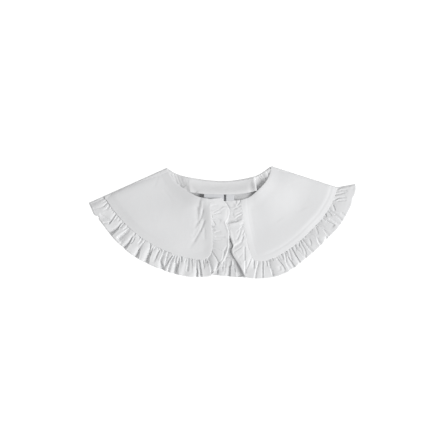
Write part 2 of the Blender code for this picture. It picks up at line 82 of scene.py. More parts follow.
# Ruffles, from the shoulder round the hem corner and up the front edge.
# Columns: seam_x, seam_y, edge_x, edge_y, seam_top, edge_top, relief
LEFT_RUFFLE: Rows = (
    (-189.0, 41.8, -213.1, 31.1, 4.0, 6.0, 2.0),
    (-185.4, 36.0, -208.6, 21.4, 4.3, 7.4, 3.6),
    (-182.4, 31.6, -204.8, 12.8, 4.3, 8.0, 4.6),
    (-180.5, 29.0, -201.4, 10.4, 4.3, 8.2, 4.8),
    (-178.6, 26.4, -198.4, 9.4, 4.3, 8.2, 5.0),
    (-176.0, 22.6, -197.2, 5.2, 4.3, 8.0, 4.6),
    (-168.8, 13.2, -189.8, -4.8, 4.3, 8.4, 4.8),
    (-155.8, -1.6, -176.8, -21.6, 4.3, 9.4, 7.0),
    (-141.3, -15.1, -160.5, -38.2, 4.3, 9.4, 7.0),
    (-123.4, -28.4, -140.1, -54.6, 4.3, 9.4, 7.0),
    (-103.8, -39.4, -116.9, -66.9, 4.3, 9.4, 7.0),
    (-82.2, -48.9, -92.6, -77.1, 4.3, 9.4, 7.0),
    (-61.6, -55.2, -69.6, -83.8, 4.3, 9.4, 7.0),
    (-43.0, -59.2, -46.4, -87.4, 4.3, 9.4, 7.0),
    (-28.6, -58.6, -28.4, -87.0, 4.3, 9.4, 7.0),
    (-21.0, -54.2, -16.4, -84.6, 4.8, 9.2, 4.2),
    (-18.2, -49.4, -9.0, -76.0, 5.1, 9.4, 3.4),
    (-16.2, -42.0, -0.4, -65.0, 5.3, 9.4, 2.8),
    (-15.9, -36.0, 4.6, -57.6, 5.3, 8.8, 2.4),
    (-15.8, -30.0, 7.8, -49.0, 5.3, 8.0, 2.2),
    (-15.9, -23.0, 10.0, -39.0, 5.3, 7.1, 2.0),
    (-16.4, -15.0, 10.8, -27.0, 5.3, 7.0, 1.8),
    (-16.9, -8.0, 10.4, -15.4, 5.3, 6.8, 1.8),
    (-17.4, -2.0, 7.8, -7.0, 5.3, 6.6, 1.8),
    (-17.7, 4.0, 6.0, 0.0, 5.3, 6.4, 1.8),
    (-18.0, 10.0, 9.4, 6.0, 5.3, 6.2, 1.8),
    (-18.4, 16.0, 11.0, 13.4, 5.3, 6.0, 1.8),
    (-19.0, 22.0, 10.6, 21.6, 5.3, 5.9, 1.6),
    (-19.8, 29.0, 6.2, 29.0, 5.3, 5.8, 1.5),
    (-21.0, 37.4, -1.6, 38.8, 5.3, 5.8, 1.2),
)
RIGHT_RUFFLE: Rows = (
    (183.7, 56.2, 212.4, 61.4, 4.0, 6.2, 2.4),
    (182.0, 49.6, 213.0, 52.0, 4.3, 7.4, 3.8),
    (180.0, 42.6, 210.6, 42.4, 4.3, 8.0, 4.6),
    (177.0, 35.4, 207.4, 34.0, 4.3, 8.4, 5.0),
    (172.8, 27.0, 203.8, 23.0, 4.3, 8.2, 4.8),
    (160.6, 8.0, 187.4, -5.4, 4.3, 8.8, 5.4),
    (145.4, -8.6, 167.4, -26.4, 4.3, 8.8, 5.4),
    (127.8, -26.0, 146.6, -47.0, 4.3, 8.8, 5.4),
    (110.6, -40.0, 127.4, -62.4, 4.3, 8.8, 5.4),
    (92.5, -51.4, 107.2, -78.0, 4.3, 8.8, 5.4),
    (75.6, -59.6, 84.0, -87.0, 4.3, 8.8, 5.4),
    (62.0, -62.6, 61.0, -89.9, 4.3, 8.8, 5.4),
    (51.2, -60.4, 43.0, -89.2, 4.6, 9.0, 4.8),
    (47.6, -56.4, 35.8, -85.6, 5.0, 9.2, 3.0),
    (44.8, -50.6, 30.4, -74.2, 5.2, 8.8, 1.6),
    (42.9, -44.0, 23.4, -62.6, 5.25, 7.6, 1.6),
    (41.2, -37.6, 16.2, -51.0, 5.25, 7.0, 2.4),
    (39.6, -30.6, 14.8, -43.8, 5.25, 6.6, 2.4),
    (38.3, -24.4, 17.4, -38.0, 5.25, 6.2, 2.6),
    (36.9, -17.6, 14.6, -30.4, 5.25, 6.0, 2.4),
    (35.4, -10.0, 11.2, -20.6, 5.25, 5.8, 2.2),
    (33.8, -2.0, 7.6, -9.0, 5.25, 5.4, 2.4),
    (32.4, 7.0, 4.0, 3.0, 5.25, 5.0, 2.4),
    (31.2, 16.0, 1.0, 14.0, 5.25, 5.0, 2.6),
    (30.2, 26.0, 0.0, 24.0, 5.25, 5.2, 2.6),
    (29.4, 35.6, 0.6, 33.8, 5.25, 5.4, 2.4),
)
BACK_RUFFLE: Rows = (
    (-186.4, 36.0, -209.0, 26.0, 1.1, 1.3, 0.3),
    (-180.5, 29.0, -200.4, 12.4, 1.3, 1.7, 0.9),
    (-155.8, -1.6, -175.2, -20.0, 1.4, 2.1, 1.3),
    (-123.4, -28.4, -138.8, -52.8, 1.4, 2.1, 1.3),
    (-82.2, -48.9, -91.8, -75.0, 1.4, 2.1, 1.3),
    (-43.0, -59.2, -45.8, -85.0, 1.4, 2.1, 1.3),
    (-22.0, -58.6, -22.6, -84.0, 1.4, 2.2, 1.4),
    (-8.0, -58.0, -8.4, -84.8, 1.6, 3.4, 2.8),
    (10.6, -57.6, 10.8, -86.6, 4.0, 3.8, 3.6),
    (28.0, -58.4, 29.0, -88.0, 4.2, 3.6, 3.4),
    (41.0, -59.4, 42.0, -88.0, 1.4, 2.2, 1.6),
    (75.6, -59.6, 83.0, -85.0, 1.4, 2.1, 1.3),
    (110.6, -40.0, 126.2, -60.6, 1.4, 2.1, 1.3),
    (145.4, -8.6, 165.8, -25.2, 1.4, 2.1, 1.3),
    (172.8, 27.0, 202.4, 24.0, 1.3, 1.7, 0.9),
    (181.8, 50.2, 211.5, 54.4, 1.1, 1.3, 0.3),
)

# Where the back panel is pushed up a little. Columns: x, y, height, reach
BACK_BULGES: Rows = (
    (10.0, -38.0, 1.2, 14.0), (18.0, -62.0, 2.4, 9.0), (27.0, 30.0, 3.2, 9.0), (36.0, 34.0, 3.2, 9.0),
    (46.0, 40.0, 2.6, 9.0),
)

# Folds, creases and puckers; a negative depth is a ridge.
# Columns: start_x, start_y, end_x, end_y, bow, start_depth, end_depth, start_width, end_width, side
LEFT_FOLDS: Rows = (
    (-186.6, 38.3, -191.7, 37.4, 0, 1.2, 0.8, 1.0, 1.0, 1),
    (-184.6, 35.8, -191.0, 31.8, 0, 0.8, 0.6, 1.2, 1.4, 1),
    (-183.2, 32.2, -189.1, 26.5, 0, 2.0, 1.6, 1.0, 1.2, 1),
    (-189.4, 26.5, -204.6, 22.0, 1.0, 0.8, 0.5, 1.6, 2.2, 1),
    (-181.4, 29.4, -184.3, 22.0, 1.4, 3.0, 2.6, 1.2, 1.4, -1),
    (-184.6, 21.7, -188.8, 19.1, 0, 1.0, 0.5, 1.4, 1.6, -1),
    (-177.3, 22.0, -176.0, 20.1, 0, 2.4, 2.0, 1.1, 1.1, 1),
    (-173.8, 17.8, -174.7, 16.6, 0, 1.4, 1.0, 1.0, 1.0, 1),
    (-169.9, 14.6, -176.3, 4.4, 0, 2.4, 3.2, 1.2, 1.4, 1),
    (-176.3, 4.4, -180.5, -0.7, 0, 3.2, 4.2, 1.4, 1.6, 1),
    (-194.2, 12.4, -180.8, 3.8, -0.5, 1.4, 2.8, 1.6, 1.4, -1),
    (-180.8, -0.4, -188.5, -0.7, 0, 2.2, 1.4, 1.2, 1.8, -1),
    (-165.6, 10.8, -174.1, 2.8, 0, 1.6, 1.0, 1.0, 1.2, -1),
    (-163.5, 7.3, -165.8, 3.4, 0, 1.2, 0.8, 1.4, 1.6, 1),
    (-158.4, 3.1, -160.3, -0.4, 0, 1.8, 1.2, 1.3, 1.4, 1),
    (-154.6, 0.9, -162.9, -8.4, 0, 2.4, 2.0, 1.0, 1.2, -1),
    (-162.4, -1.0, -167.4, -8.1, 0.3, 2.4, 3.4, 1.2, 1.6, 1),
    (-167.4, -8.4, -180.5, -17.0, 0, 4.2, 6.5, 2.2, 4.2, 1),
    (-151.4, -5.5, -156.8, -11.3, 0.6, 1.4, 1.0, 1.3, 1.6, -1),
    (-147.4, -9.0, -150.7, -13.2, 0, 2.0, 2.6, 1.2, 1.4, -1),
    (-150.7, -13.2, -165.0, -26.2, 0, 4.4, 7.0, 1.8, 3.4, -1),
    (-155.5, -24.1, -162.0, -33.4, 0, 1.0, 1.6, 1.6, 2.4, -1),
    (-144.8, -23.8, -156.5, -40.0, 0.8, 3.4, 7.0, 1.3, 2.6, 1),
    (-141.1, -25.4, -146.2, -32.7, 1.0, 1.8, 1.2, 1.2, 1.4, 1),
    (-139.2, -17.4, -139.8, -18.6, 0, 2.0, 1.4, 1.0, 1.0, 1),
    (-131.5, -23.8, -132.2, -25.0, 0, 1.4, 0.8, 1.2, 1.2, 1),
    (-128.8, -26.3, -132.8, -32.7, 0.3, 2.2, 1.2, 1.2, 1.6, -1),
    (-128.6, -35.6, -134.4, -45.2, 0, 2.0, 4.4, 1.2, 1.8, -1),
    (-133.0, -42.2, -138.4, -56.2, 0, 5.6, 8.4, 1.8, 3.2, 1),
    (-123.2, -28.9, -127.0, -34.0, 0, 1.0, 0.8, 1.0, 1.2, 1),
    (-115.2, -33.4, -115.5, -38.8, 0, 2.6, 2.4, 1.2, 1.4, 1),
    (-115.8, -39.1, -118.7, -47.4, 0.5, 2.4, 4.6, 1.5, 2.2, 1),
    (-118.7, -47.4, -122.4, -63.2, 0, 5.6, 8.0, 2.4, 3.6, 1),
    (-112.3, -42.0, -116.5, -52.6, 0, 2.0, 3.8, 1.2, 1.6, 1),
    (-107.5, -40.7, -109.8, -43.3, 0, 1.4, 1.0, 1.0, 1.2, -1),
    (-102.4, -41.0, -103.0, -42.6, 0, 1.4, 1.0, 1.0, 1.0, 1),
    (-99.5, -42.3, -97.6, -46.2, 0, 2.0, 1.4, 1.1, 1.1, 1),
    (-101.6, -45.5, -105.6, -53.8, 0, 2.4, 2.0, 1.4, 1.6, 1),
    (-105.6, -53.8, -109.4, -61.8, 0, 1.6, 0.8, 1.8, 2.2, 1),
    (-92.6, -45.5, -94.7, -49.0, 0, 3.0, 2.2, 1.2, 1.2, -1),
    (-95.2, -53.2, -98.4, -63.4, -0.5, 2.6, 4.4, 1.4, 2.0, -1),
    (-98.4, -63.4, -96.6, -74.4, -0.4, 5.2, 8.0, 2.2, 3.6, 1),
    (-86.7, -47.1, -88.3, -55.4, 0, 2.8, 2.8, 1.3, 1.5, -1),
    (-88.3, -55.4, -91.2, -66.0, 0, 2.4, 1.6, 1.4, 1.6, -1),
    (-84.5, -47.8, -85.1, -49.4, 0, 1.8, 1.2, 1.0, 1.0, 1),
    (-81.0, -54.2, -90.9, -68.6, 0, 2.0, 1.6, 1.2, 1.4, 1),
    (-80.3, -55.4, -89.3, -74.0, 0, -0.8, -1.2, 1.2, 2.4, 1),
    (-77.1, -54.5, -81.9, -63.4, 0, 3.2, 2.8, 1.2, 1.3, -1),
    (-81.9, -63.4, -86.6, -78.0, 0, 2.8, 4.4, 1.3, 1.8, -1),
    (-73.6, -55.1, -76.2, -67.3, 0, 2.4, 3.6, 1.1, 1.5, -1),
    (-69.6, -58.0, -72.0, -72.1, 0.3, 2.4, 3.8, 1.1, 1.5, 1),
    (-74.6, -66.6, -76.0, -84.0, 0, 5.0, 8.0, 2.2, 3.8, 1),
    (-65.6, -54.2, -65.6, -60.9, 0, 3.2, 2.4, 1.2, 1.3, 1),
    (-61.4, -63.4, -67.8, -81.0, 0, -0.6, -0.8, 2.4, 4.0, 1),
    (-57.0, -57.4, -59.5, -62.8, 0, 1.6, 1.0, 1.0, 1.2, -1),
    (-54.1, -57.7, -56.0, -75.6, 0.5, 3.0, 2.8, 1.2, 1.5, -1),
    (-49.4, -58.3, -49.4, -65.0, 0, 2.2, 1.4, 1.2, 1.4, 1),
    (-49.4, -65.0, -49.4, -79.4, 0, 1.0, 0.6, 1.8, 2.4, 1),
    (-44.8, -58.6, -44.2, -61.8, 0, 1.6, 1.2, 1.0, 1.1, 1),
    (-41.3, -60.6, -41.3, -73.0, 0, 4.0, 3.8, 1.3, 1.5, -1),
    (-41.3, -73.0, -41.1, -89.0, 0, 4.8, 6.4, 1.6, 2.2, 1),
    (-38.4, -60.6, -36.5, -66.6, 0, 2.8, 3.4, 1.2, 1.4, 1),
    (-36.5, -68.2, -34.4, -89.0, 0, 3.2, 5.2, 1.4, 2.2, 1),
    (-31.0, -62.8, -29.6, -71.4, 0, 2.6, 1.4, 1.3, 1.5, 1),
    (-26.9, -61.2, -27.0, -67.3, 0, 2.2, 1.4, 1.0, 1.1, 1),
    (-23.8, -62.5, -23.8, -67.3, 0, 2.2, 1.2, 1.0, 1.1, 1),
    (-22.2, -58.3, -20.8, -63.4, 0, 1.8, 1.8, 1.1, 1.2, -1),
    (-20.8, -63.4, -17.1, -79.4, 0.6, 3.0, 3.8, 1.2, 1.7, -1),
    (-16.0, -48.1, -6.4, -65.0, 0.6, 1.2, 1.8, 1.2, 1.5, 1),
    (-6.4, -65.0, -11.8, -78.2, 0.8, 2.6, 2.8, 1.5, 1.6, 1),
    (6.7, -38.8, 2.9, -46.2, 0, 0.6, 0.7, 1.3, 1.5, -1),
    (1.9, -47.1, -0.3, -60.6, 1.3, 1.3, 1.3, 1.3, 1.5, -1),
    (-12.5, -42.0, 0.3, -47.4, 0.6, 0.7, 0.9, 1.2, 1.3, 1),
    (-9.3, -22.8, 2.6, -22.8, 0, 0.7, 0.6, 1.3, 1.6, 1),
    (-11.8, -27.6, -2.9, -27.6, 0, 0.5, 0.4, 1.2, 1.4, -1),
    (-17.0, -6.2, -15.0, -6.5, 0, 2.0, 1.4, 1.0, 1.0, 1),
    (-14.7, -11.0, -13.4, -11.6, 0, 1.2, 0.8, 1.2, 1.4, 1),
    (-10.6, -16.1, -4.8, -14.8, 0, 0.8, 0.6, 1.2, 1.6, 1),
    (-14.7, 1.2, -12.2, -2.6, 0, 1.8, 1.2, 1.1, 1.2, 1),
    (-16.3, 7.6, -15.4, 6.0, 0, 2.4, 1.8, 1.1, 1.2, 1),
    (-13.1, 6.3, -3.8, 3.1, 0.3, 1.6, 1.0, 2.0, 2.6, 1),
    (-12.5, 13.5, -4.2, 15.1, 0, 1.0, 0.8, 1.0, 1.3, -1),
    (-12.8, 16.9, -5.4, 19.8, 0, 1.0, 0.8, 1.0, 1.3, 1),
    (-15.7, 26.8, -9.6, 27.4, 0, 0.7, 0.5, 1.2, 1.6, 1),
    (11.0, -28.2, 8.3, -45.8, 0, -0.8, -0.9, 1.3, 1.3, 1),
    (8.0, -45.8, -1.6, -67.3, -0.6, -0.9, -1.1, 1.4, 1.4, 1),
    (-1.6, -67.3, -11.5, -81.7, 0, -1.4, -1.0, 1.4, 1.4, 1),
    (4.2, -0.4, 10.9, -16.4, 0, -0.8, -1.0, 1.3, 1.3, 1),
    (10.6, 22.3, 10.2, 5.4, 0, -0.8, -0.8, 1.3, 1.3, 1),
    (5.1, 23.0, 2.6, 3.8, 0, -1.0, -1.0, 4.0, 4.5, 1),
    (1.6, 23.3, -11.8, 15.9, 0.5, -0.7, -0.5, 1.0, 1.2, 1),
)
RIGHT_FOLDS: Rows = (
    (49.8, -62.8, 49.8, -71.8, 0, 3.4, 2.2, 1.2, 1.4, 1),
    (57.9, -62.8, 57.6, -65.7, 0, 2.4, 2.4, 1.8, 1.5, -1),
    (57.6, -65.7, 52.3, -88.0, -0.6, 2.6, 2.6, 1.2, 1.5, -1),
    (64.2, -61.8, 64.0, -73.0, 0, 2.2, 2.0, 1.1, 1.2, 1),
    (64.0, -73.0, 64.0, -86.5, 0, 1.9, 2.0, 1.1, 1.2, 1),
    (66.4, -63.4, 66.2, -82.6, 0, -0.5, -0.6, 0.9, 1.0, 1),
    (70.2, -61.5, 70.6, -67.9, 0, 3.2, 2.0, 1.1, 1.2, 1),
    (73.6, -60.2, 76.6, -71.4, 0, 3.4, 3.2, 1.3, 1.2, -1),
    (76.6, -71.4, 80.3, -83.0, 0.3, 3.2, 3.4, 1.2, 1.6, -1),
    (76.3, -59.3, 77.0, -60.6, 0, 1.4, 1.0, 1.0, 1.0, 1),
    (79.5, -57.4, 80.2, -59.0, 0, 2.0, 1.4, 1.0, 1.0, 1),
    (88.3, -59.9, 94.7, -68.2, 0, 3.0, 3.8, 1.2, 1.4, 1),
    (94.7, -68.2, 98.9, -76.9, 0.8, 2.8, 1.6, 1.4, 2.0, 1),
    (89.0, -54.5, 92.5, -59.0, 0, 1.2, 0.8, 1.1, 1.2, 1),
    (86.2, -56.1, 87.2, -57.7, 0, 1.2, 0.8, 1.0, 1.0, 1),
    (93.9, -51.9, 96.5, -57.0, 0, 2.6, 1.8, 1.2, 1.2, 1),
    (91.2, -71.8, 92.2, -74.6, 0, 1.6, 1.6, 2.2, 2.2, 1),
    (99.2, -47.8, 102.1, -63.4, 0.3, 2.0, 2.6, 1.1, 1.3, -1),
    (102.1, -63.4, 111.2, -77.0, -0.6, 3.0, 5.8, 1.4, 2.8, -1),
    (101.9, -46.2, 102.4, -47.4, 0, 2.2, 1.4, 1.0, 1.0, 1),
    (105.1, -56.7, 114.6, -73.0, -0.3, 2.8, 5.6, 1.2, 2.6, 1),
    (105.9, -43.3, 110.4, -59.6, 0.5, 1.8, 1.4, 1.2, 1.6, -1),
    (110.1, -40.7, 116.8, -53.8, 0, 3.8, 4.6, 1.1, 1.2, 1),
    (116.8, -53.8, 124.3, -66.2, 0, 4.6, 5.0, 1.2, 1.6, 1),
    (115.5, -35.9, 117.6, -42.6, 0, 3.2, 2.4, 1.3, 1.4, -1),
    (118.4, -42.6, 131.5, -55.4, 0, 1.2, 1.4, 1.0, 1.3, -1),
    (121.8, -34.3, 122.2, -38.5, 0, 2.8, 2.2, 1.5, 1.4, 1),
    (124.2, -40.1, 128.0, -47.8, 0.3, 1.8, 1.2, 1.2, 1.4, 1),
    (124.5, -29.5, 126.6, -35.9, 0, 2.2, 1.8, 1.2, 1.2, 1),
    (127.7, -37.8, 132.8, -49.7, 0.8, 1.8, 1.6, 1.2, 1.6, 1),
    (132.2, -54.2, 133.2, -57.4, 0, 2.0, 2.6, 1.6, 2.0, 1),
    (127.4, -27.0, 137.0, -39.4, 0, 2.8, 3.6, 1.2, 1.2, -1),
    (137.0, -39.4, 145.2, -49.4, 0, 3.4, 4.4, 1.3, 1.8, -1),
    (131.0, -22.2, 131.8, -23.4, 0, 2.2, 1.4, 1.1, 1.1, 1),
    (132.5, -26.0, 139.2, -28.2, 0.6, 1.4, 1.8, 1.1, 1.2, 1),
    (139.2, -28.2, 141.1, -35.3, 0.5, 2.0, 1.2, 1.4, 1.6, 1),
    (138.6, -14.2, 139.4, -15.4, 0, 1.6, 1.0, 1.0, 1.0, 1),
    (142.1, -11.0, 142.9, -12.2, 0, 1.6, 1.0, 1.0, 1.0, 1),
    (137.0, -17.0, 151.7, -25.0, -0.3, 1.4, 1.6, 1.1, 1.2, -1),
    (151.7, -25.0, 157.0, -36.0, -0.5, 2.2, 3.8, 1.3, 1.8, -1),
    (166.1, -25.0, 167.2, -28.6, 0, 3.8, 4.6, 1.6, 1.8, 1),
    (148.5, -4.9, 151.2, -7.4, 0, 2.8, 2.0, 1.1, 1.1, 1),
    (151.2, -7.4, 161.9, -11.9, 0.3, 1.2, 1.6, 1.1, 1.2, 1),
    (161.9, -11.9, 171.8, -25.0, 0, 2.2, 2.8, 1.2, 1.6, -1),
    (149.0, -9.0, 152.3, -17.4, 0.5, 1.6, 1.0, 1.2, 1.3, 1),
    (151.4, -1.7, 161.9, -7.4, 0, 1.2, 0.8, 1.0, 1.1, -1),
    (156.3, 4.1, 157.3, 2.5, 0, 2.0, 1.4, 1.1, 1.2, 1),
    (160.5, 5.7, 166.7, 0.9, -0.3, 2.4, 2.8, 1.1, 1.4, 1),
    (166.7, 0.9, 176.6, -4.9, 0, 3.4, 3.2, 1.8, 2.2, 1),
    (172.5, 4.7, 187.0, -5.0, 0.5, 2.4, 4.2, 1.2, 2.2, -1),
    (164.5, 12.4, 164.8, 10.5, 0, 3.0, 2.4, 1.2, 1.2, 1),
    (161.3, 10.5, 162.2, 8.9, 0, 1.4, 0.8, 1.0, 1.0, 1),
    (168.0, 16.9, 172.8, 12.1, 0, 2.0, 1.6, 1.1, 1.2, 1),
    (169.9, 20.1, 180.2, 12.4, 0, 2.8, 2.8, 1.2, 1.2, -1),
    (180.2, 12.4, 192.8, -0.4, 0.6, 3.0, 3.8, 1.2, 1.7, -1),
    (176.8, 26.2, 179.2, 18.8, 0.5, 2.4, 2.0, 1.2, 1.3, 1),
    (179.5, 18.5, 189.8, 14.3, -0.5, 1.4, 1.6, 1.3, 1.8, 1),
    (190.7, 13.4, 198.6, 8.0, 0, 2.6, 3.6, 1.8, 2.2, 1),
    (180.8, 36.1, 185.6, 37.7, 0, 2.6, 2.4, 1.3, 1.2, -1),
    (185.6, 38.0, 195.8, 38.3, 0, 2.4, 1.4, 1.1, 1.4, -1),
    (185.6, 33.0, 195.5, 33.7, 0, 1.6, 1.0, 1.0, 1.2, -1),
    (184.3, 43.9, 193.9, 45.0, -0.3, 2.0, 1.6, 1.1, 1.2, 1),
    (190.1, 49.5, 197.8, 48.6, 0, 1.6, 1.6, 1.2, 1.8, 1),
    (180.2, 43.3, 182.4, 43.3, 0, 1.8, 1.2, 1.0, 1.0, -1),
    (186.0, 55.9, 191.0, 56.4, 0, 3.4, 3.2, 1.5, 1.6, 1),
    (190.4, 55.9, 202.6, 55.9, 0, 3.0, 1.6, 1.5, 1.8, 1),
    (201.0, 52.4, 209.0, 52.4, 0, 0.9, 0.9, 1.4, 1.6, 1),
    (31.0, 4.0, 11.8, -1.0, 0, -1.4, -2.4, 3.0, 3.6, -1),
    (29.4, 5.4, 22.6, 3.4, 0, 1.0, 2.4, 1.8, 2.4, 1),
    (22.6, 3.4, 10.4, 1.4, 0, 2.6, 3.2, 2.6, 3.2, 1),
    (30.7, 12.1, 19.8, 5.5, 0, 2.2, 1.8, 1.2, 1.4, -1),
    (29.4, 15.9, 22.1, 12.4, 0, 1.6, 1.0, 1.1, 1.2, -1),
    (29.1, 22.0, 27.2, 22.6, 0, 1.8, 1.2, 1.1, 1.1, 1),
    (26.9, 25.8, 18.9, 21.4, 0, 1.6, 1.0, 1.2, 1.3, 1),
    (29.4, 34.8, 24.0, 27.8, 0, 1.4, 1.6, 1.1, 1.2, 1),
    (20.8, 33.5, 21.4, 31.0, 0, 1.6, 1.4, 1.4, 1.5, 1),
    (17.9, 30.0, 17.6, 25.5, 0, 0.9, 0.9, 3.0, 3.2, 1),
    (16.3, 14.3, 16.3, 11.4, 0, 0.9, 0.9, 2.0, 2.4, 1),
    (18.6, 7.9, 12.8, 2.8, 0, 1.2, 1.2, 2.4, 3.0, 1),
    (6.7, 29.4, 9.9, 25.2, 0, 1.2, 1.0, 1.3, 1.4, 1),
    (32.3, -2.6, 30.7, -3.6, 0, 1.8, 1.4, 1.1, 1.1, 1),
    (31.7, -6.2, 28.0, -11.3, 0, 1.6, 1.2, 1.2, 1.5, -1),
    (24.8, -13.5, 23.4, -15.1, 0, 1.0, 0.8, 1.1, 1.1, 1),
    (29.1, -13.2, 23.7, -26.6, 0.5, 1.2, 1.6, 1.2, 1.4, 1),
    (34.4, -13.8, 32.0, -19.6, 0, 1.5, 1.2, 1.2, 1.2, 1),
    (32.6, -23.1, 29.8, -31.1, 0, 2.2, 2.2, 1.4, 1.8, 1),
    (29.8, -31.8, 18.9, -39.4, 0, 1.8, 2.2, 1.8, 2.2, -1),
    (30.4, -39.1, 19.8, -46.5, 0, 0.9, 0.7, 1.1, 1.2, 1),
    (34.2, -48.1, 26.6, -56.1, 0, 0.7, 0.6, 1.1, 1.2, 1),
    (35.2, -40.4, 35.4, -59.3, 0, 2.0, 2.0, 1.2, 1.3, 1),
    (36.6, -63.1, 36.6, -79.4, 0, 2.4, 3.0, 1.3, 1.5, -1),
    (44.2, -60.9, 38.7, -74.0, 0, 1.8, 1.4, 1.2, 1.3, 1),
    (36.8, -18.3, 37.1, -20.2, 0, 2.4, 1.8, 1.1, 1.1, 1),
    (40.0, -34.0, 40.8, -36.2, 0, 1.4, 1.0, 1.1, 1.1, 1),
    (41.6, -40.7, 42.1, -43.0, 0, 2.0, 1.4, 1.1, 1.1, 1),
    (17.0, -2.6, 29.8, -0.1, 0, -0.8, -0.5, 2.4, 2.4, 1),
    (12.8, -13.8, 17.0, -31.4, 0, -0.8, -1.0, 1.6, 1.6, 1),
    (21.8, -50.6, 31.4, -66.6, 0, -0.6, -0.8, 1.8, 2.0, 1),
)
BACK_FOLDS: Rows = (
    (-160.0, 3.0, -181.0, -14.0, 0, 0.8, 1.2, 2.0, 3.0, 1),
    (-128.0, -25.6, -144.0, -50.0, 0, 0.8, 1.2, 2.0, 3.0, 1),
    (-90.0, -46.0, -99.0, -72.0, 0, 0.8, 1.2, 2.0, 3.0, 1),
    (-52.0, -57.6, -56.0, -84.0, 0, 0.8, 1.2, 2.0, 3.0, 1),
    (-8.0, -77.8, -8.3, -80.1, 0, 2.4, 2.0, 1.5, 1.5, 1),
    (-1.0, -72.1, 0.0, -76.2, 0, 1.4, 1.2, 1.5, 1.6, 1),
    (1.6, -65.0, 1.6, -70.5, 0, 1.6, 1.2, 1.8, 2.0, 1),
    (3.5, -76.2, 3.0, -82.0, 0, 1.0, 0.9, 1.4, 1.6, 1),
    (7.2, -56.7, 5.1, -63.4, 0, 2.6, 3.0, 1.3, 1.6, -1),
    (5.1, -63.4, 4.5, -71.1, 0, 3.4, 2.6, 1.6, 1.6, -1),
    (6.7, -82.6, 7.0, -88.0, 0, 2.4, 3.0, 1.4, 1.6, 1),
    (9.9, -55.8, 10.6, -66.6, 0, 4.4, 5.4, 1.8, 2.0, 1),
    (10.6, -66.6, 10.2, -88.4, 0, 6.0, 7.0, 1.8, 2.0, 1),
    (13.1, -57.0, 13.1, -67.6, 0, 2.2, 2.6, 1.3, 1.5, 1),
    (15.4, -58.0, 16.0, -60.2, 0, 2.0, 1.4, 1.2, 1.2, 1),
    (17.4, -60.6, 17.9, -67.6, 0, 3.0, 2.2, 1.2, 1.3, 1),
    (20.0, -62.5, 20.2, -76.4, 0, 5.2, 4.6, 1.2, 1.2, -1),
    (25.6, -61.2, 27.2, -69.8, 0, 4.0, 4.6, 1.5, 1.8, 1),
    (25.0, -66.0, 27.6, -84.4, 0, 6.5, 7.5, 2.6, 3.2, -1),
    (68.0, -61.4, 72.0, -87.0, 0, 0.8, 1.2, 2.0, 3.0, 1),
    (103.0, -45.4, 117.0, -68.0, 0, 0.8, 1.2, 2.0, 3.0, 1),
    (138.0, -16.0, 158.0, -34.0, 0, 0.8, 1.2, 2.0, 3.0, 1),
)
LEFT_CREASES: Rows = (
    (-35.5, 38.0, -37.8, 25.5, 0, 0.7, 1.1, 2.4, 2.6, 1),
    (-40.3, 24.2, -39.8, 4.7, 0, 1.3, 1.0, 2.8, 3.0, 1),
    (-38.7, 2.2, -43.8, -7.8, 0, 1.3, 0.7, 2.2, 2.4, 1),
    (-31.2, 19.4, -33.9, 9.5, 0, 1.2, 0.9, 1.6, 1.8, 1),
    (-34.2, 7.9, -38.1, 0.6, 0, 0.9, 0.8, 1.6, 1.8, 1),
    (-29.1, 2.2, -34.9, -11.3, 0.3, 1.1, 1.4, 1.7, 2.0, 1),
    (-34.9, -11.3, -45.4, -29.8, 0, 1.4, 1.2, 2.0, 2.4, 1),
    (-45.4, -29.8, -52.5, -40.1, 0, 0.7, 0.3, 2.2, 2.6, 1),
    (-38.4, -8.1, -46.1, -22.5, 0, 0.8, 0.9, 2.0, 2.4, 1),
    (-28.5, -11.6, -28.2, -25.0, 0, 0.5, 0.45, 1.6, 1.8, 1),
    (-21.6, 37.0, -22.1, 27.8, 0, 0.8, 0.5, 2.0, 2.0, 1),
    (-33.6, 32.6, -34.6, 13.4, 0, -0.7, -0.7, 2.0, 2.0, 1),
    (-103.0, 73.2, -110.1, 55.6, 0.6, 0.22, 0.16, 1.6, 1.8, 1),
    (-99.5, 76.7, -91.5, 62.6, 0, 0.16, 0.2, 1.6, 1.8, 1),
    (-93.8, 51.1, -79.4, 31.9, 0.8, 0.2, 0.16, 1.8, 2.0, 1),
)
RIGHT_CREASES: Rows = (
    (64.0, 48.0, 92.0, 6.0, 0, 0.25, 0.3, 7.0, 9.0, 1),
    (110.0, 60.0, 128.0, 22.0, 0, 0.2, 0.3, 8.0, 9.0, -1),
)
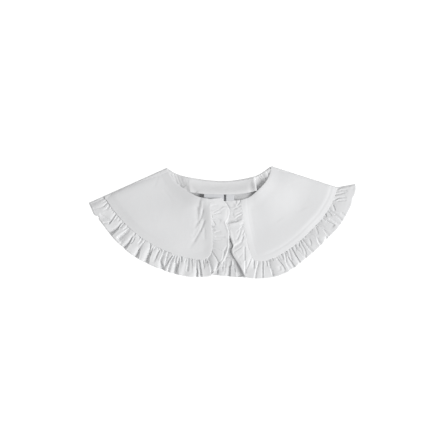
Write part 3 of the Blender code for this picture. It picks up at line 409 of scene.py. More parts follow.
BAND_PUCKERS: Rows = (
    (-82.6, 78.0, -80.0, 69.0, 0, 0.6, 0.8, 2.0, 2.2, 1),
    (-77.8, 76.0, -72.6, 61.4, 0, 0.9, 1.3, 2.2, 2.8, 1),
    (-73.3, 75.2, -66.9, 56.6, 0, 0.9, 1.4, 2.4, 2.8, 1),
    (-68.8, 73.6, -62.7, 57.2, 0, 0.6, 1.2, 3.0, 4.4, 1),
    (-60.2, 66.6, -56.6, 50.8, 0, 0.4, 0.9, 2.4, 3.2, 1),
    (-55.8, 66.8, -54.1, 49.5, 0, 0.3, 0.6, 1.8, 2.2, 1),
    (-52.5, 61.4, -43.2, 47.9, 0, 0.4, 0.9, 3.4, 5.0, 1),
    (-15.0, 57.2, 7.4, 55.9, 0.3, 0.14, 0.14, 2.0, 2.2, 1),
    (-0.6, 53.0, 18.6, 53.4, 0, 0.14, 0.12, 2.2, 2.2, 1),
    (44.8, 62.3, 46.1, 48.9, 0, 0.4, 0.8, 3.0, 4.0, -1),
    (49.0, 65.2, 54.7, 51.8, 0.3, -0.3, -0.5, 2.0, 2.4, 1),
    (54.4, 67.5, 61.8, 55.6, 0, 2.4, 3.0, 2.2, 2.8, -1),
    (57.9, 71.0, 66.6, 60.7, 0, 2.4, 3.0, 2.0, 2.4, -1),
    (56.3, 59.1, 59.5, 52.1, 0, 1.8, 2.2, 1.8, 2.0, -1),
    (60.8, 74.2, 65.0, 70.3, 0, 1.2, 1.6, 1.6, 1.8, -1),
    (64.0, 76.1, 70.4, 68.7, 0, 1.4, 2.0, 1.8, 2.0, -1),
    (70.7, 80.9, 74.2, 76.4, 0, 0.9, 1.2, 1.4, 1.7, 1),
)

# Nicks in the free edges. Columns: x, y, depth, width
LEFT_NICKS: Rows = ((-199.2, 7.6, 2.6, 2.2), (-13.0, -84.0, 1.2, 4.0), (-96.0, -74.0, 0.8, 3.0))
RIGHT_NICKS: Rows = (
    (208.6, 38.6, 1.2, 3.4), (164.4, -28.4, 1.2, 2.8), (110.8, -76.0, 1.0, 2.8), (186.0, -4.6, 0.8, 2.8),
)

# Neck band over the back neck. Columns: neck_x, neck_y, low_x, low_y, neck_lift, low_lift
NECK_BAND: Rows = (
    (-84.6, 81.6, -92.8, 65.2, -0.4, -0.8), (-74.2, 77.4, -82.0, 57.6, -0.2, -0.6),
    (-66.0, 74.6, -72.0, 54.2, 0.9, 0.4), (-58.0, 72.5, -62.4, 51.0, 2.2, 3.0),
    (-51.0, 71.0, -54.4, 48.8, 2.8, 6.0), (-43.0, 69.6, -46.0, 47.2, 2.4, 7.0),
    (-26.2, 67.3, -28.0, 45.2, 1.6, 7.8), (-2.0, 65.6, -2.0, 44.4, 0.8, 7.8),
    (21.8, 67.0, 23.4, 45.0, 0.2, 6.6), (36.0, 69.3, 39.0, 47.0, 0.2, 5.8),
    (44.0, 71.0, 48.0, 48.8, 0.9, 5.8), (49.6, 72.6, 54.0, 50.4, 1.6, 6.0),
    (51.6, 73.3, 56.4, 51.2, 0.1, 0.3), (55.4, 74.9, 61.2, 52.8, -0.4, -0.4),
    (66.0, 80.6, 75.0, 60.0, 2.2, 4.6), (76.4, 87.0, 84.0, 68.4, 0.9, 2.6),
)


class Held(Enum):
    """How a sheet of cloth is held."""

    LAID = "laid"
    FOLDED = "folded"
    GATHERED = "gathered"


def ease(share: np.ndarray) -> np.ndarray:
    """Rise from 0 to 1 with no slope at either end."""
    share = np.clip(share, 0.0, 1.0)
    return share * share * (3.0 - 2.0 * share)


def fade(gap: np.ndarray, width: float) -> np.ndarray:
    """Fall from 1 at no gap to 0 a width away, with no slope at either end."""
    return 1.0 - ease(gap / width)


def late(share: np.ndarray, start: float) -> np.ndarray:
    """Stay 0 as far as a start, then rise to 1 at the end."""
    return ease((share - start) / (1.0 - start))


def arch(share: np.ndarray) -> np.ndarray:
    """Rise from 0 at either end to 1 in the middle."""
    return 4.0 * share * (1.0 - share)


def hump(gap: np.ndarray, width: float) -> np.ndarray:
    """A smooth hump, 1 at no gap and nearly 0 two widths away."""
    return np.exp(-((gap / width) ** 2))


@dataclass
class SmoothPath:
    """A smooth curve through the rows of a table, read by share of its length."""

    rows: Rows
    steps: int = 24

    def __post_init__(self) -> None:
        """Work out the fine points and the length marks once."""
        knots = np.array(self.rows, dtype=float)
        padded = np.vstack([2.0 * knots[0] - knots[1], knots, 2.0 * knots[-1] - knots[-2]])
        fine = []
        for before, start, end, after in zip(padded, padded[1:], padded[2:], padded[3:]):
            share = np.linspace(0.0, 1.0, self.steps, endpoint=False)[:, None]
            slope_in = 0.5 * (end - before)
            slope_out = 0.5 * (after - start)
            cubic = 2.0 * start - 2.0 * end + slope_in + slope_out
            square = -3.0 * start + 3.0 * end - 2.0 * slope_in - slope_out
            fine.append(((cubic * share + square) * share + slope_in) * share + start)
        self.fine = np.vstack([*fine, knots[-1:]])
        lengths = np.hypot(*np.diff(self.fine[:, :2], axis=0).T)
        self.marks = np.concatenate([[0.0], np.cumsum(lengths)])

    @property
    def length(self) -> float:
        """Length of the first two columns' curve, mm."""
        return float(self.marks[-1])

    def at(self, share: np.ndarray) -> np.ndarray:
        """Read every column.

        Args:
            share: Shares of the length, 0 to 1.

        Returns:
            One row for each share.
        """
        wanted = np.asarray(share, dtype=float) * self.length
        return np.column_stack([np.interp(wanted, self.marks, column) for column in self.fine.T])


class ShoulderFold:
    """A straight fold line that turns cloth down and under at its outer side."""

    def __init__(self, start: Sequence[float], end: Sequence[float]) -> None:
        """Find the line's outer side; the cloth lies on the side of the frame's origin.

        Args:
            start: One end of the line, mm.
            end: The other end, mm.
        """
        self.start = np.array(start[:2], dtype=float)
        along = np.array(end[:2], dtype=float) - self.start
        normal = np.array([-along[1], along[0]]) / np.hypot(*along)
        self.outward = normal if normal @ -self.start < 0.0 else -normal

    def inset(self, point: Sequence[float], distance: float) -> np.ndarray:
        """Move a point straight in from the line."""
        return np.array(point[:2], dtype=float) - self.outward * distance

    def inside(self, plan: np.ndarray) -> np.ndarray:
        """How far in from the line each point lies, mm."""
        return (self.start - plan) @ self.outward

    def nearness(self, plan: np.ndarray, reach: float) -> np.ndarray:
        """Fall away from 1 at the line, to about a third one reach further in."""
        return np.exp(-np.maximum(self.inside(plan), 0.0) / reach)

    def turn(self, plan: np.ndarray, top: np.ndarray) -> np.ndarray:
        """Wrap an outer face round the fold.

        Args:
            plan: Points of the cloth as if it ran on flat past the line, mm.
            top: Height of the outer face at each point, mm.

        Returns:
            The turned points, mm.
        """
        radius = 0.5 * top
        inside = self.inside(plan)
        angle = np.clip((radius - inside) / radius, 0.0, math.pi)
        past = np.maximum(radius - inside - math.pi * radius, 0.0)
        turned = np.where(inside >= radius, inside, radius - radius * np.sin(angle) + past)
        height = np.where(inside >= radius, top, radius + radius * np.cos(angle))
        moved = plan + self.outward * (inside - turned)[:, None]
        return np.column_stack([moved, height])


@dataclass
class FoldSet:
    """Troughs and ridges given one by one, each steep on one side and running out softly on the other."""

    rows: Rows
    steep: float = 0.8
    foot: float = 2.6
    foot_share: float = 0.22
    foot_reach: float = 2.5
    end_fade: float = 2.0
    end_reach: float = 3.0
    lip: float = 0.07
    lip_place: float = 1.25
    lip_width: float = 0.5
    lean: float = 0.35
    scale: float = 1.25
    blend: float = 3.0
    broad: float = 1.2

    def read(self, plan: np.ndarray) -> tuple[np.ndarray, np.ndarray]:
        """Measure the troughs.

        Args:
            plan: Points, mm.

        Returns:
            The depth at each point, and how far the cloth is drawn under its neighbour, both in mm.
        """
        deep = np.zeros(len(plan))
        raised = np.zeros(len(plan))
        drawn = np.zeros((len(plan), 2))
        beyond = self.end_reach * self.end_fade
        for row in self.rows:
            start, end = np.array(row[:2]), np.array(row[2:4])
            bow, start_depth, end_depth, start_width, end_width, side = row[4:]
            size = float(np.hypot(*(end - start)))
            along = (end - start) / size
            left = np.array([-along[1], along[0]])
            reach = self.foot_reach * self.foot * self.broad * max(start_width, end_width) + abs(bow)
            run, beside = (plan - start) @ along, (plan - start) @ left
            near = (np.abs(beside) < reach) & (run > -beyond) & (run < size + beyond)
            run, beside = run[near], beside[near]
            share = np.clip(run / size, 0.0, 1.0)
            width = self.broad * (start_width + (end_width - start_width) * share)
            gap = side * (beside - bow * arch(share))
            past = np.maximum(np.maximum(-run, run - size), 0.0)
            full = (start_depth + (end_depth - start_depth) * share) * hump(past, self.end_fade)
            soft = (1.0 - self.foot_share) * hump(gap, width)
            soft = soft + self.foot_share * hump(gap, self.foot * width)
            trough = full * np.where(gap > 0.0, hump(gap, self.steep * width), soft)
            lip = self.lip * full * hump(gap - self.lip_place * width, self.lip_width * width)
            deep[near] += np.maximum(trough, 0.0) ** self.blend
            raised[near] += lip - np.minimum(trough, 0.0)
            drawn[near] += (side * self.lean * np.maximum(trough, 0.0))[:, None] * left
        return self.scale * (deep ** (1.0 / self.blend) - raised), self.scale * drawn


def mounds(plan: np.ndarray, rows: Rows) -> np.ndarray:
    """Sum round humps.

    Args:
        plan: Points, mm.
        rows: The x, y, height and reach of each hump, mm.

    Returns:
        The sum at each point, mm.
    """
    total = np.zeros(len(plan))
    for x, y, height, reach in rows:
        total += height * hump(np.hypot(plan[:, 0] - x, plan[:, 1] - y), reach)
    return total


def nearest(plan: np.ndarray, line: np.ndarray) -> tuple[np.ndarray, np.ndarray]:
    """Find the nearest point of a finely read line.

    Args:
        plan: Points, mm.
        line: Points of the line, evenly spaced, mm.

    Returns:
        The distance to the line and the share of the line at which it is met.
    """
    best = np.full(len(plan), np.inf)
    met = np.zeros(len(plan))
    for index, (x, y) in enumerate(line[:, :2]):
        gap = np.hypot(plan[:, 0] - x, plan[:, 1] - y)
        closer = gap < best
        best[closer] = gap[closer]
        met[closer] = index
    return best, met / (len(line) - 1)


def swell(plan: np.ndarray, waves: Rows) -> np.ndarray:
    """Sum long, shallow waves.

    Args:
        plan: Points, mm.
        waves: The angle in degrees, length and height in mm, and phase in turns of each wave.

    Returns:
        The sum at each point, mm.
    """
    total = np.zeros(len(plan))
    for angle, length, height, phase in waves:
        heading = math.radians(angle)
        run = plan[:, 0] * math.cos(heading) + plan[:, 1] * math.sin(heading)
        total += height * np.sin(2.0 * math.pi * (run / length + phase))
    return total


@dataclass
class NeckLift:
    """The neck edge of a front, which stands up over the band by the lift in its table."""

    rows: Rows
    reach: float = 72.0
    samples: int = 301

    def __post_init__(self) -> None:
        """Read the edge finely once."""
        self.path = SmoothPath(self.rows)
        self.line = self.path.at(np.linspace(0.0, 1.0, self.samples))

    def gap(self, plan: np.ndarray) -> np.ndarray:
        """Distance of each point from the neck edge, mm."""
        return nearest(plan, self.line)[0]

    def rise(self, plan: np.ndarray) -> np.ndarray:
        """Lift of each point, mm."""
        gap, share = nearest(plan, self.line)
        return self.path.at(share)[:, 2] * fade(gap, self.reach)


class Wire:
    """A shader socket that takes part in plain arithmetic."""

    def __init__(self, graph: "Graph", socket: bpy.types.NodeSocket) -> None:
        """Keep the socket and the graph that it belongs to."""
        self.graph = graph
        self.socket = socket

    def _pair(self, operation: str, first: object, second: object) -> "Wire":
        """Add one Math node."""
        return self.graph.node("ShaderNodeMath", {"operation": operation}, first, second)

    def __add__(self, other: object) -> "Wire":
        """Add a value."""
        return self._pair("ADD", self, other)

    def __radd__(self, other: object) -> "Wire":
        """Add to a value."""
        return self._pair("ADD", other, self)

    def __sub__(self, other: object) -> "Wire":
        """Take a value away."""
        return self._pair("SUBTRACT", self, other)

    def __rsub__(self, other: object) -> "Wire":
        """Take this away from a value."""
        return self._pair("SUBTRACT", other, self)

    def __mul__(self, other: object) -> "Wire":
        """Multiply by a value."""
        return self._pair("MULTIPLY", self, other)

    def under(self, limit: float) -> "Wire":
        """Give 1 where the value is under a limit and 0 elsewhere."""
        return self._pair("LESS_THAN", self, limit)

    def sine(self) -> "Wire":
        """Take the sine."""
        return self.graph.node("ShaderNodeMath", {"operation": "SINE"}, self)

    def size(self) -> "Wire":
        """Drop the sign."""
        return self.graph.node("ShaderNodeMath", {"operation": "ABSOLUTE"}, self)


class Graph:
    """The nodes of one material."""

    def __init__(self, name: str) -> None:
        """Make the material with its shader.

        Args:
            name: The material's name.
        """
        self.material = bpy.data.materials.new(name)
        self.material.use_nodes = True
        self.tree = self.material.node_tree
        self.shader = self.tree.nodes["Principled BSDF"]

    def _feed(self, socket: bpy.types.NodeSocket, value: object) -> None:
        """Link a wire to a socket, or set its value.

        Args:
            socket: The input.
            value: A wire, a number or a colour.
        """
        if isinstance(value, Wire):
            self.tree.links.new(value.socket, socket)
        else:
            socket.default_value = value

    def node(self, kind: str, settings: dict, *values: object, out: int = 0, **named: object) -> Wire:
        """Add a node.

        Args:
            kind: The node's type.
            settings: Its properties, set before its sockets.
            values: Values or wires for its first sockets.
            out: Which output to return.
            named: Values or wires by socket name, with _ for a space.

        Returns:
            The chosen output.
        """
        made = self.tree.nodes.new(kind)
        for key, value in settings.items():
            setattr(made, key, value)
        for socket, value in zip(made.inputs, values):
            self._feed(socket, value)
        for key, value in named.items():
            self._feed(made.inputs[key.replace("_", " ")], value)
        return Wire(self, made.outputs[out])

    def set(self, name: str, value: object) -> None:
        """Set or link one socket of the shader."""
        self._feed(self.shader.inputs[name], value)

    def uv(self, name: str) -> tuple[Wire, Wire]:
        """Read the two columns of a UV map, in millimetres of cloth."""
        place = self.node("ShaderNodeUVMap", {"uv_map": name})
        split = self.node("ShaderNodeSeparateXYZ", {}, place)
        return split, Wire(self, split.socket.node.outputs["Y"])

    def blend(self, share: Wire, first: tuple | Wire, second: tuple | Wire) -> Wire:
        """Mix two colours.

        Args:
            share: How much of the second colour there is, 0 to 1.
            first: The colour at 0.
            second: The colour at 1.

        Returns:
            The mixed colour.
        """
        made = self.tree.nodes.new("ShaderNodeMix")
        made.data_type = "RGBA"
        self._feed(made.inputs[MIX_SHARE], share)
        self._feed(made.inputs[MIX_FIRST], first)
        self._feed(made.inputs[MIX_SECOND], second)
        return Wire(self, made.outputs[MIX_RESULT])


@dataclass(frozen=True)
class Cotton:
    """Plain-woven white cotton with rows of machine stitches beside its edges."""

    name: str
    colour: tuple = (0.775, 0.778, 0.785, 1.0)
    shade: tuple = (0.745, 0.748, 0.757, 1.0)
    thread: tuple = (0.80, 0.80, 0.80, 1.0)
    patch_scale: float = 22.0
    roughness: float = 0.86
    roughness_spread: float = 0.1
    thread_pitch: float = 0.32
    weave_height: float = 0.03
    crumple_size: float = 9.0
    crumple_height: float = 0.40
    sheen: float = 0.12
    stitch_rows: tuple = ()
    stitch_length: float = 2.4
    stitch_width: float = 0.34
    stitch_sunk: float = 0.28
    stitch_height: float = 3.0

    def stitches(self, graph: Graph) -> Wire:
        """Mark the stitches from the map of place along and distance from an edge.

        Args:
            graph: The material's nodes.

        Returns:
            1 on the thread and 0 elsewhere.
        """
        along, gap = graph.uv("edge")
        marked = along * 0.0
        beat = (along * (math.pi / self.stitch_length)).sine().size()
        for row in self.stitch_rows:
            on_row = (gap - row).size().under(0.5 * self.stitch_width)
            marked = marked + on_row * (1.0 - beat.under(self.stitch_sunk))
        return marked

    def make(self) -> bpy.types.Material:
        """Build the material, with its weave on the cloth map and its crumple on Object coordinates.

        Returns:
            The material.
        """
        graph = Graph(self.name)
        place = graph.node("ShaderNodeTexCoord", {}, out=OBJECT_OUTPUT)
        warp, weft = graph.uv("cloth")
        turn = 2.0 * math.pi / self.thread_pitch
        relief = (warp * turn).sine() * (weft * turn).sine()
        fineness = 1.0 / (self.crumple_size * MM)
        crumple = graph.node("ShaderNodeTexNoise", {}, place, Scale=fineness, Detail=3.0)
        patches = graph.node("ShaderNodeTexNoise", {}, place, Scale=self.patch_scale, Detail=2.0)
        colour = graph.blend(patches, self.colour, self.shade)
        if self.stitch_rows:
            sewn = self.stitches(graph)
            colour = graph.blend(sewn, colour, self.thread)
            relief = relief + sewn * self.stitch_height
        graph.set("Base Color", colour)
        graph.set("Roughness", self.roughness + (crumple - 0.5) * self.roughness_spread)
        graph.set("Sheen Weight", self.sheen)
        graph.set("Sheen Roughness", 0.5)
        graph.set("Specular IOR Level", 0.25)
        weave = graph.node("ShaderNodeBump", {}, Strength=0.5, Distance=self.weave_height * MM, Height=relief)
        depth = self.crumple_height * MM
        soft = graph.node("ShaderNodeBump", {}, Strength=0.6, Distance=depth, Height=crumple, Normal=weave)
        graph.set("Normal", soft)
        return graph.material


@dataclass(frozen=True)
class Paper:
    """The pale, evenly lit floor."""

    name: str = "pale_floor"
    colour: tuple = (0.30, 0.30, 0.30, 1.0)
    glow_colour: tuple = (1.0, 1.0, 1.0, 1.0)
    glow: float = 0.93
    roughness: float = 0.95

    def make(self) -> bpy.types.Material:
        """Build the material.

        Returns:
            The material.
        """
        graph = Graph(self.name)
        graph.set("Base Color", self.colour)
        graph.set("Roughness", self.roughness)
        graph.set("Specular IOR Level", 0.0)
        graph.set("Emission Color", self.glow_colour)
        graph.set("Emission Strength", self.glow)
        return graph.material


@dataclass
class Face:
    """The outer face of a sheet, mm: its points, their place in the cloth, and along and from an edge."""

    points: np.ndarray
    cloth: np.ndarray
    edge: np.ndarray


@dataclass
class Sheet:
    """A thin cloth shell that stands for one or more solids."""

    name: str
    nodes: tuple
    slot: str
    held: Held
    flat: tuple
    area: float
    finish: Cotton
    columns: int
    rows: int
    wall: float = 0.5
    smooth_under: float = 70.0
    rests_on: tuple = ()

    def surface(self, across: np.ndarray, down: np.ndarray) -> Face:
        """Give the outer face.

        Args:
            across: Shares along the piece.
            down: Shares across it.

        Returns:
            The face.
        """
        raise NotImplementedError

    def build(self) -> bpy.types.Object:
        """Returns:
            The finished piece.
        """
        bpy.ops.object.select_all(action="DESELECT")
        bpy.ops.mesh.primitive_grid_add(x_subdivisions=self.columns, y_subdivisions=self.rows, size=2.0)
        piece = bpy.context.object
        piece.name = self.name
        mesh = piece.data
        mesh.name = self.name
        corners = np.empty(len(mesh.vertices) * 3)
        mesh.vertices.foreach_get("co", corners)
        # The grid runs from -1 to 1, and its corners are read as shares from 0 to 1
        shares = 0.5 * (corners.reshape(-1, 3) + 1.0)
        face = self.surface(shares[:, 0], shares[:, 1])
        mesh.vertices.foreach_set("co", (face.points * MM).ravel())
        owners = np.empty(len(mesh.loops), dtype=int)
        mesh.loops.foreach_get("vertex_index", owners)
        mesh.uv_layers[0].name = "cloth"
        mesh.uv_layers["cloth"].data.foreach_set("uv", face.cloth[owners].ravel())
        mesh.uv_layers.new(name="edge", do_init=False)
        mesh.uv_layers["edge"].data.foreach_set("uv", face.edge[owners].ravel())
        mesh.update()
        wall = piece.modifiers.new("wall", "SOLIDIFY")
        wall.thickness = self.wall * MM
        wall.offset = -1.0
        bpy.ops.object.modifier_apply(modifier=wall.name)
        bpy.ops.object.shade_smooth_by_angle(angle=math.radians(self.smooth_under))
        mesh.materials.append(self.finish.make())
        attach(piece, BODY)
        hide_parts(*self.nodes)
        LOG.info("%s: %d faces", self.name, len(mesh.polygons))
        return piece


@dataclass
class Front(Sheet):
    """A front panel, folded over at the shoulder."""

    seam_rows: Rows = ()
    hem_share: float = 0.7
    line_samples: int = 201
    seam_samples: int = 601
    creases: Rows = ()
    waves: Rows = ()
    seam_calm: float = 16.0
    neck_calm: float = 20.0
    fold: ShoulderFold | None = None
    fold_inset: float = 3.4
    fold_run: float = 6.5
    fold_columns: int = 16
    top: float = 3.6
    rise: float = 0.8
    rise_from: float = 0.5
    front_rise: float = 1.0
    front_from: float = 0.75
    corner_share: float = 0.5
    allowance: float = 9.6
    allowance_height: float = 0.2
    allowance_slope: float = 4.0
    allowance_end: float = 0.2
    allowance_groove: float = 0.0
    groove_width: float = 1.5
    shoulder_drop: float = 1.6
    shoulder_reach: float = 14.0
    seam_roll: float = 0.2
    seam_roll_width: float = 0.7
    neck_roll: float = 0.5
    neck_roll_width: float = 1.3
    lift: NeckLift | None = None

    def lay(self, over: np.ndarray, down: np.ndarray) -> np.ndarray:
        """Blend the neck edge, hem, shoulder and front edge into a flat panel.

        Args:
            over: Shares from the shoulder to the front edge.
            down: Shares from the neck edge to the hem.

        Returns:
            Points, mm.
        """
        marks = np.linspace(0.0, 1.0, self.line_samples)
        seam = SmoothPath(self.seam_rows)
        hem_line = seam.at(self.hem_share * marks)[:, :2]
        front_line = seam.at(1.0 - (1.0 - self.hem_share) * marks)[:, :2]
        neck_line = self.lift.path.at(marks)[:, :2]
        hem_line[0] = self.fold.inset(hem_line[0], self.fold_inset)
        neck_line[0] = self.fold.inset(neck_line[0], self.fold_inset)

        def read(line: np.ndarray, share: np.ndarray) -> np.ndarray:
            """Read a line by share."""
            return np.column_stack([np.interp(share, marks, column) for column in line.T])

        along, dip = over[:, None], down[:, None]
        shoulder = hem_line[0] * dip + neck_line[0] * (1.0 - dip)
        sides = (1.0 - along) * shoulder + along * read(front_line, down)
        ends = (1.0 - dip) * read(neck_line, over) + dip * read(hem_line, over)
        upper = (1.0 - along) * neck_line[0] + along * neck_line[-1]
        lower = (1.0 - along) * hem_line[0] + along * hem_line[-1]
        return sides + ends - (1.0 - dip) * upper - dip * lower

    def surface(self, across: np.ndarray, down: np.ndarray) -> Face:
        """Lay the panel, then its seam allowance, creases, lifted neck edge and shoulder fold.

        Args:
            across: Shares from the turned end at the shoulder to the front edge.
            down: Shares from the neck edge to the hem.

        Returns:
            The face.
        """
        column = np.round(across * self.columns)
        run = np.clip(1.0 - column / self.fold_columns, 0.0, 1.0) * (self.fold_inset + self.fold_run)
        over = np.clip((column - self.fold_columns) / (self.columns - self.fold_columns), 0.0, 1.0)
        plan = self.lay(over, down)
        seam = SmoothPath(self.seam_rows)
        seam_gap, seam_share = nearest(plan, seam.at(np.linspace(0.0, 1.0, self.seam_samples)))
        neck_gap = self.lift.gap(plan)
        hem_rise = late(down, self.rise_from)
        front_rise = late(over, self.front_from) * (1.0 - self.corner_share * hem_rise)
        top = self.top + self.rise * hem_rise + self.front_rise * front_rise
        past_allowance = seam_gap - self.allowance
        doubled = fade(past_allowance + self.allowance_slope, self.allowance_slope)
        top = top + self.allowance_height * fade(over - self.front_from, self.allowance_end) * doubled
        top = top - self.allowance_groove * hump(past_allowance, self.groove_width)
        top = top - self.seam_roll * fade(seam_gap, self.seam_roll_width)
        top = top - self.neck_roll * fade(neck_gap, self.neck_roll_width)
        top = top + self.lift.rise(plan)
        calm = ease(seam_gap / self.seam_calm) * ease(neck_gap / self.neck_calm) * (run <= 0.0)
        depth, drawn = FoldSet(self.creases, scale=0.8, lip=0.04, broad=1.35).read(plan)
        top = top - depth + swell(plan, self.waves) * calm
        top = top - self.shoulder_drop * self.fold.nearness(plan, self.shoulder_reach)
        cloth = plan + self.fold.outward * run[:, None]
        points = self.fold.turn(cloth + drawn, top)
        return Face(points, cloth, np.column_stack([seam_share * seam.length, seam_gap]))


@dataclass
class Ruffle(Sheet):
    """A gathered strip from its seam to its free edge."""

    table: Rows = ()
    folds: Rows = ()
    fold_scale: float = 1.0
    nicks: Rows = ()
    nicks_from: float = 0.6
    pitch: float = 4.6
    fullness: float = 1.6
    seed: int = 1
    shifts: tuple = (-0.3, 0.3)
    depths: tuple = (0.2, 1.0)
    reaches: tuple = (0.14, 0.45)
    slants: tuple = (-0.6, 0.6)
    widths: tuple = (0.24, 0.4)
    gather_depth: float = 0.9
    gather_spread: float = 0.8
    fold: ShoulderFold | None = None
    fold_inset: float = 3.4
    fold_run: float = 8.0
    fold_columns: int = 16
    turned_gathers: float = 10.0
    bow: float = 0.0
    tip_drop: float = 3.4
    tip_reach: float = 4.0
    seam_gap: float = -0.3
    hem: float = 2.6
    hem_height: float = 0.18
    hem_slope: float = 0.5
    groove_share: float = 0.5
    groove_width: float = 0.35
    edge_roll: float = 1.2
    edge_roll_width: float = 1.3
    tuck: float = 0.15
    tuck_share: float = 0.05
    root_drop: float = 1.7
    rise_power: float = 1.8
    relief_power: float = 0.8
    sway: float = 0.2
    sway_limit: float = 1.5
    sways: Rows = ((5.3, 1.0), (3.1, 0.7))
    lean_relief: float = 2.0
    lean_loss: float = 0.8
    lean_from: float = 0.75
    lowest: float = 0.5
    lift: NeckLift | None = None
    lift_fall: float = 0.5

    def __post_init__(self) -> None:
        """Scatter the gathers once, so every reading of the surface agrees."""
        rows = [list(row) for row in self.table]
        if self.fold:
            rows[0][:2] = self.fold.inset(rows[0][:2], self.fold_inset)
            rows[0][2:4] = self.fold.inset(rows[0][2:4], self.fold_inset)
        self.path = SmoothPath(rows)
        self.gathers = round(self.path.length / self.pitch)
        draw = random.Random(self.seed)

        def scatter(limits: tuple) -> np.ndarray:
            """Draw a number between two limits for each gather."""
            return np.array([draw.uniform(*limits) for _ in range(self.gathers + 1)])

        self.shift = scatter(self.shifts)
        self.deep = scatter(self.depths)
        self.reach = scatter(self.reaches)
        self.slant = scatter(self.slants)
        self.narrow = scatter(self.widths)
        self.phase = [draw.random() for _ in self.sways]

    def gather_drop(self, place: np.ndarray, out: np.ndarray) -> np.ndarray:
        """Measure the short gathers at the seam.

        Args:
            place: Position along the seam, in gathers.
            out: Share of the way to the free edge.

        Returns:
            Depth in millimetres.
        """
        depth = np.zeros(len(place))
        for step in (-1, 0, 1, 2):
            index = np.clip(np.floor(place).astype(int) + step, 0, self.gathers)
            centre = np.floor(place) + step + self.shift[index] + self.slant[index] * out
            width = self.narrow[index] * (1.0 + self.gather_spread * out)
            here = self.gather_depth * self.deep[index] * hump(place - centre, width)
            depth += here * ease(1.0 - out / self.reach[index])
        return depth

    def swaying(self, place: np.ndarray) -> np.ndarray:
        """Sum the broad waves, given as pairs of a length in gathers and a share."""
        waves = zip(self.sways, self.phase)
        return sum(share * np.sin(2.0 * math.pi * (place / size + phase)) for (size, share), phase in waves)

    def surface(self, across: np.ndarray, down: np.ndarray) -> Face:
        """Fan the strip out from its seam with its gathers, main folds, hem and turned end.

        Args:
            across: Shares along the seam, with the turned end first.
            down: Shares from the seam to the free edge.

        Returns:
            The face.
        """
        turned = self.fold_columns if self.fold else 0
        column = across * self.columns
        run = np.clip(1.0 - column / turned, 0.0, 1.0) if turned else np.zeros(len(across))
        share = np.clip((column - turned) / (self.columns - turned), 0.0, 1.0)
        place = share * self.gathers
        row = self.path.at(share)
        seam, edge = row[:, :2], row[:, 2:4]
        seam_top, edge_top, relief = row[:, 4], row[:, 5], row[:, 6]
        width = np.hypot(*(edge - seam).T)
        outward = (edge - seam) / width[:, None]
        from_seam = self.seam_gap + (width - self.seam_gap) * down
        plan = seam + outward * from_seam[:, None]
        edge_gap = width - from_seam
        crest = seam_top + (edge_top - seam_top) * (1.0 - (1.0 - down) ** self.rise_power)
        crest = crest - self.tuck * fade(down, self.tuck_share)
        crest = crest - self.edge_roll * fade(edge_gap, self.edge_roll_width)
        if self.lift:
            crest = crest + self.lift.rise(plan) * (1.0 - self.lift_fall * down)
        crest = crest + self.sway * np.minimum(relief, self.sway_limit) * down * self.swaying(place)
        depth, drawn = FoldSet(self.folds, scale=self.fold_scale).read(plan)
        depth = depth + self.gather_drop(place, down)
        limit = relief * down**self.relief_power + self.root_drop * (1.0 - down)
        drop = limit * np.tanh(depth / np.maximum(limit, TINY))
        if self.fold:
            drop = drop + self.tip_drop * self.fold.nearness(plan, self.tip_reach)
        hem = self.hem_height * fade(edge_gap - self.hem, self.hem_slope)
        groove = hump(edge_gap - self.hem + self.hem_slope, self.groove_width)
        hem = hem - self.groove_share * self.hem_height * groove
        top = np.maximum(crest - drop + hem, self.lowest + self.wall)
        leaning = 1.0 - self.lean_loss * late(down, self.lean_from)
        leaning = np.minimum(relief, self.lean_relief) / self.lean_relief * leaning
        plan = plan + drawn * leaning[:, None]
        plan = plan - outward * (mounds(plan, self.nicks) * late(down, self.nicks_from))[:, None]
        cloth = np.column_stack([place * self.pitch * self.fullness, down * width])
        edge_map = np.column_stack([cloth[:, 0], edge_gap])
        straight = np.column_stack([plan, top])
        if not self.fold:
            return Face(straight, cloth, edge_map)
        near_end = 1.0 - place / self.turned_gathers
        bowed = self.bow * arch(down) * ease(near_end)
        length = run * (self.fold_inset + self.fold_run - bowed)
        stretched = plan + self.fold.outward * (bowed + length)[:, None]
        points = np.where((near_end > 0.0)[:, None], self.fold.turn(stretched, top), straight)
        cloth[:, 0] = cloth[:, 0] - length
        return Face(points, cloth, edge_map)


@dataclass
class Back(Sheet):
    """The back panel, flat on the floor with its inside up."""

    top: float = 1.0
    fold_left: ShoulderFold | None = None
    fold_right: ShoulderFold | None = None
    inset: float = 6.4
    neck_trim: float = 0.01
    bulges: Rows = BACK_BULGES

    def surface(self, across: np.ndarray, down: np.ndarray) -> Face:
        """Rule the panel from its neck edge to its hem, a little raised where it shows.

        Args:
            across: Shares from the left shoulder to the right one.
            down: Shares from the neck edge to the hem.

        Returns:
            The face.
        """
        hem_rows = [row[:2] for row in BACK_RUFFLE]
        hem_rows[0] = self.fold_left.inset(LEFT_RUFFLE[0], self.inset)
        hem_rows[-1] = self.fold_right.inset(RIGHT_RUFFLE[0], self.inset)
        hem = SmoothPath(hem_rows).at(across)
        neck = SmoothPath(BACK_NECK).at(self.neck_trim + (1.0 - 2.0 * self.neck_trim) * across)
        column = np.round(across * self.columns)
        neck[column == 0] = self.fold_left.inset(BACK_NECK[0], self.inset)
        neck[column == self.columns] = self.fold_right.inset(BACK_NECK[-1], self.inset)
        plan = neck * (1.0 - down[:, None]) + hem * down[:, None]
        hem_gap = np.hypot(*(hem - plan).T)
        top = self.top + mounds(plan, self.bulges)
        return Face(np.column_stack([plan, top]), plan, np.column_stack([plan[:, 0], hem_gap]))


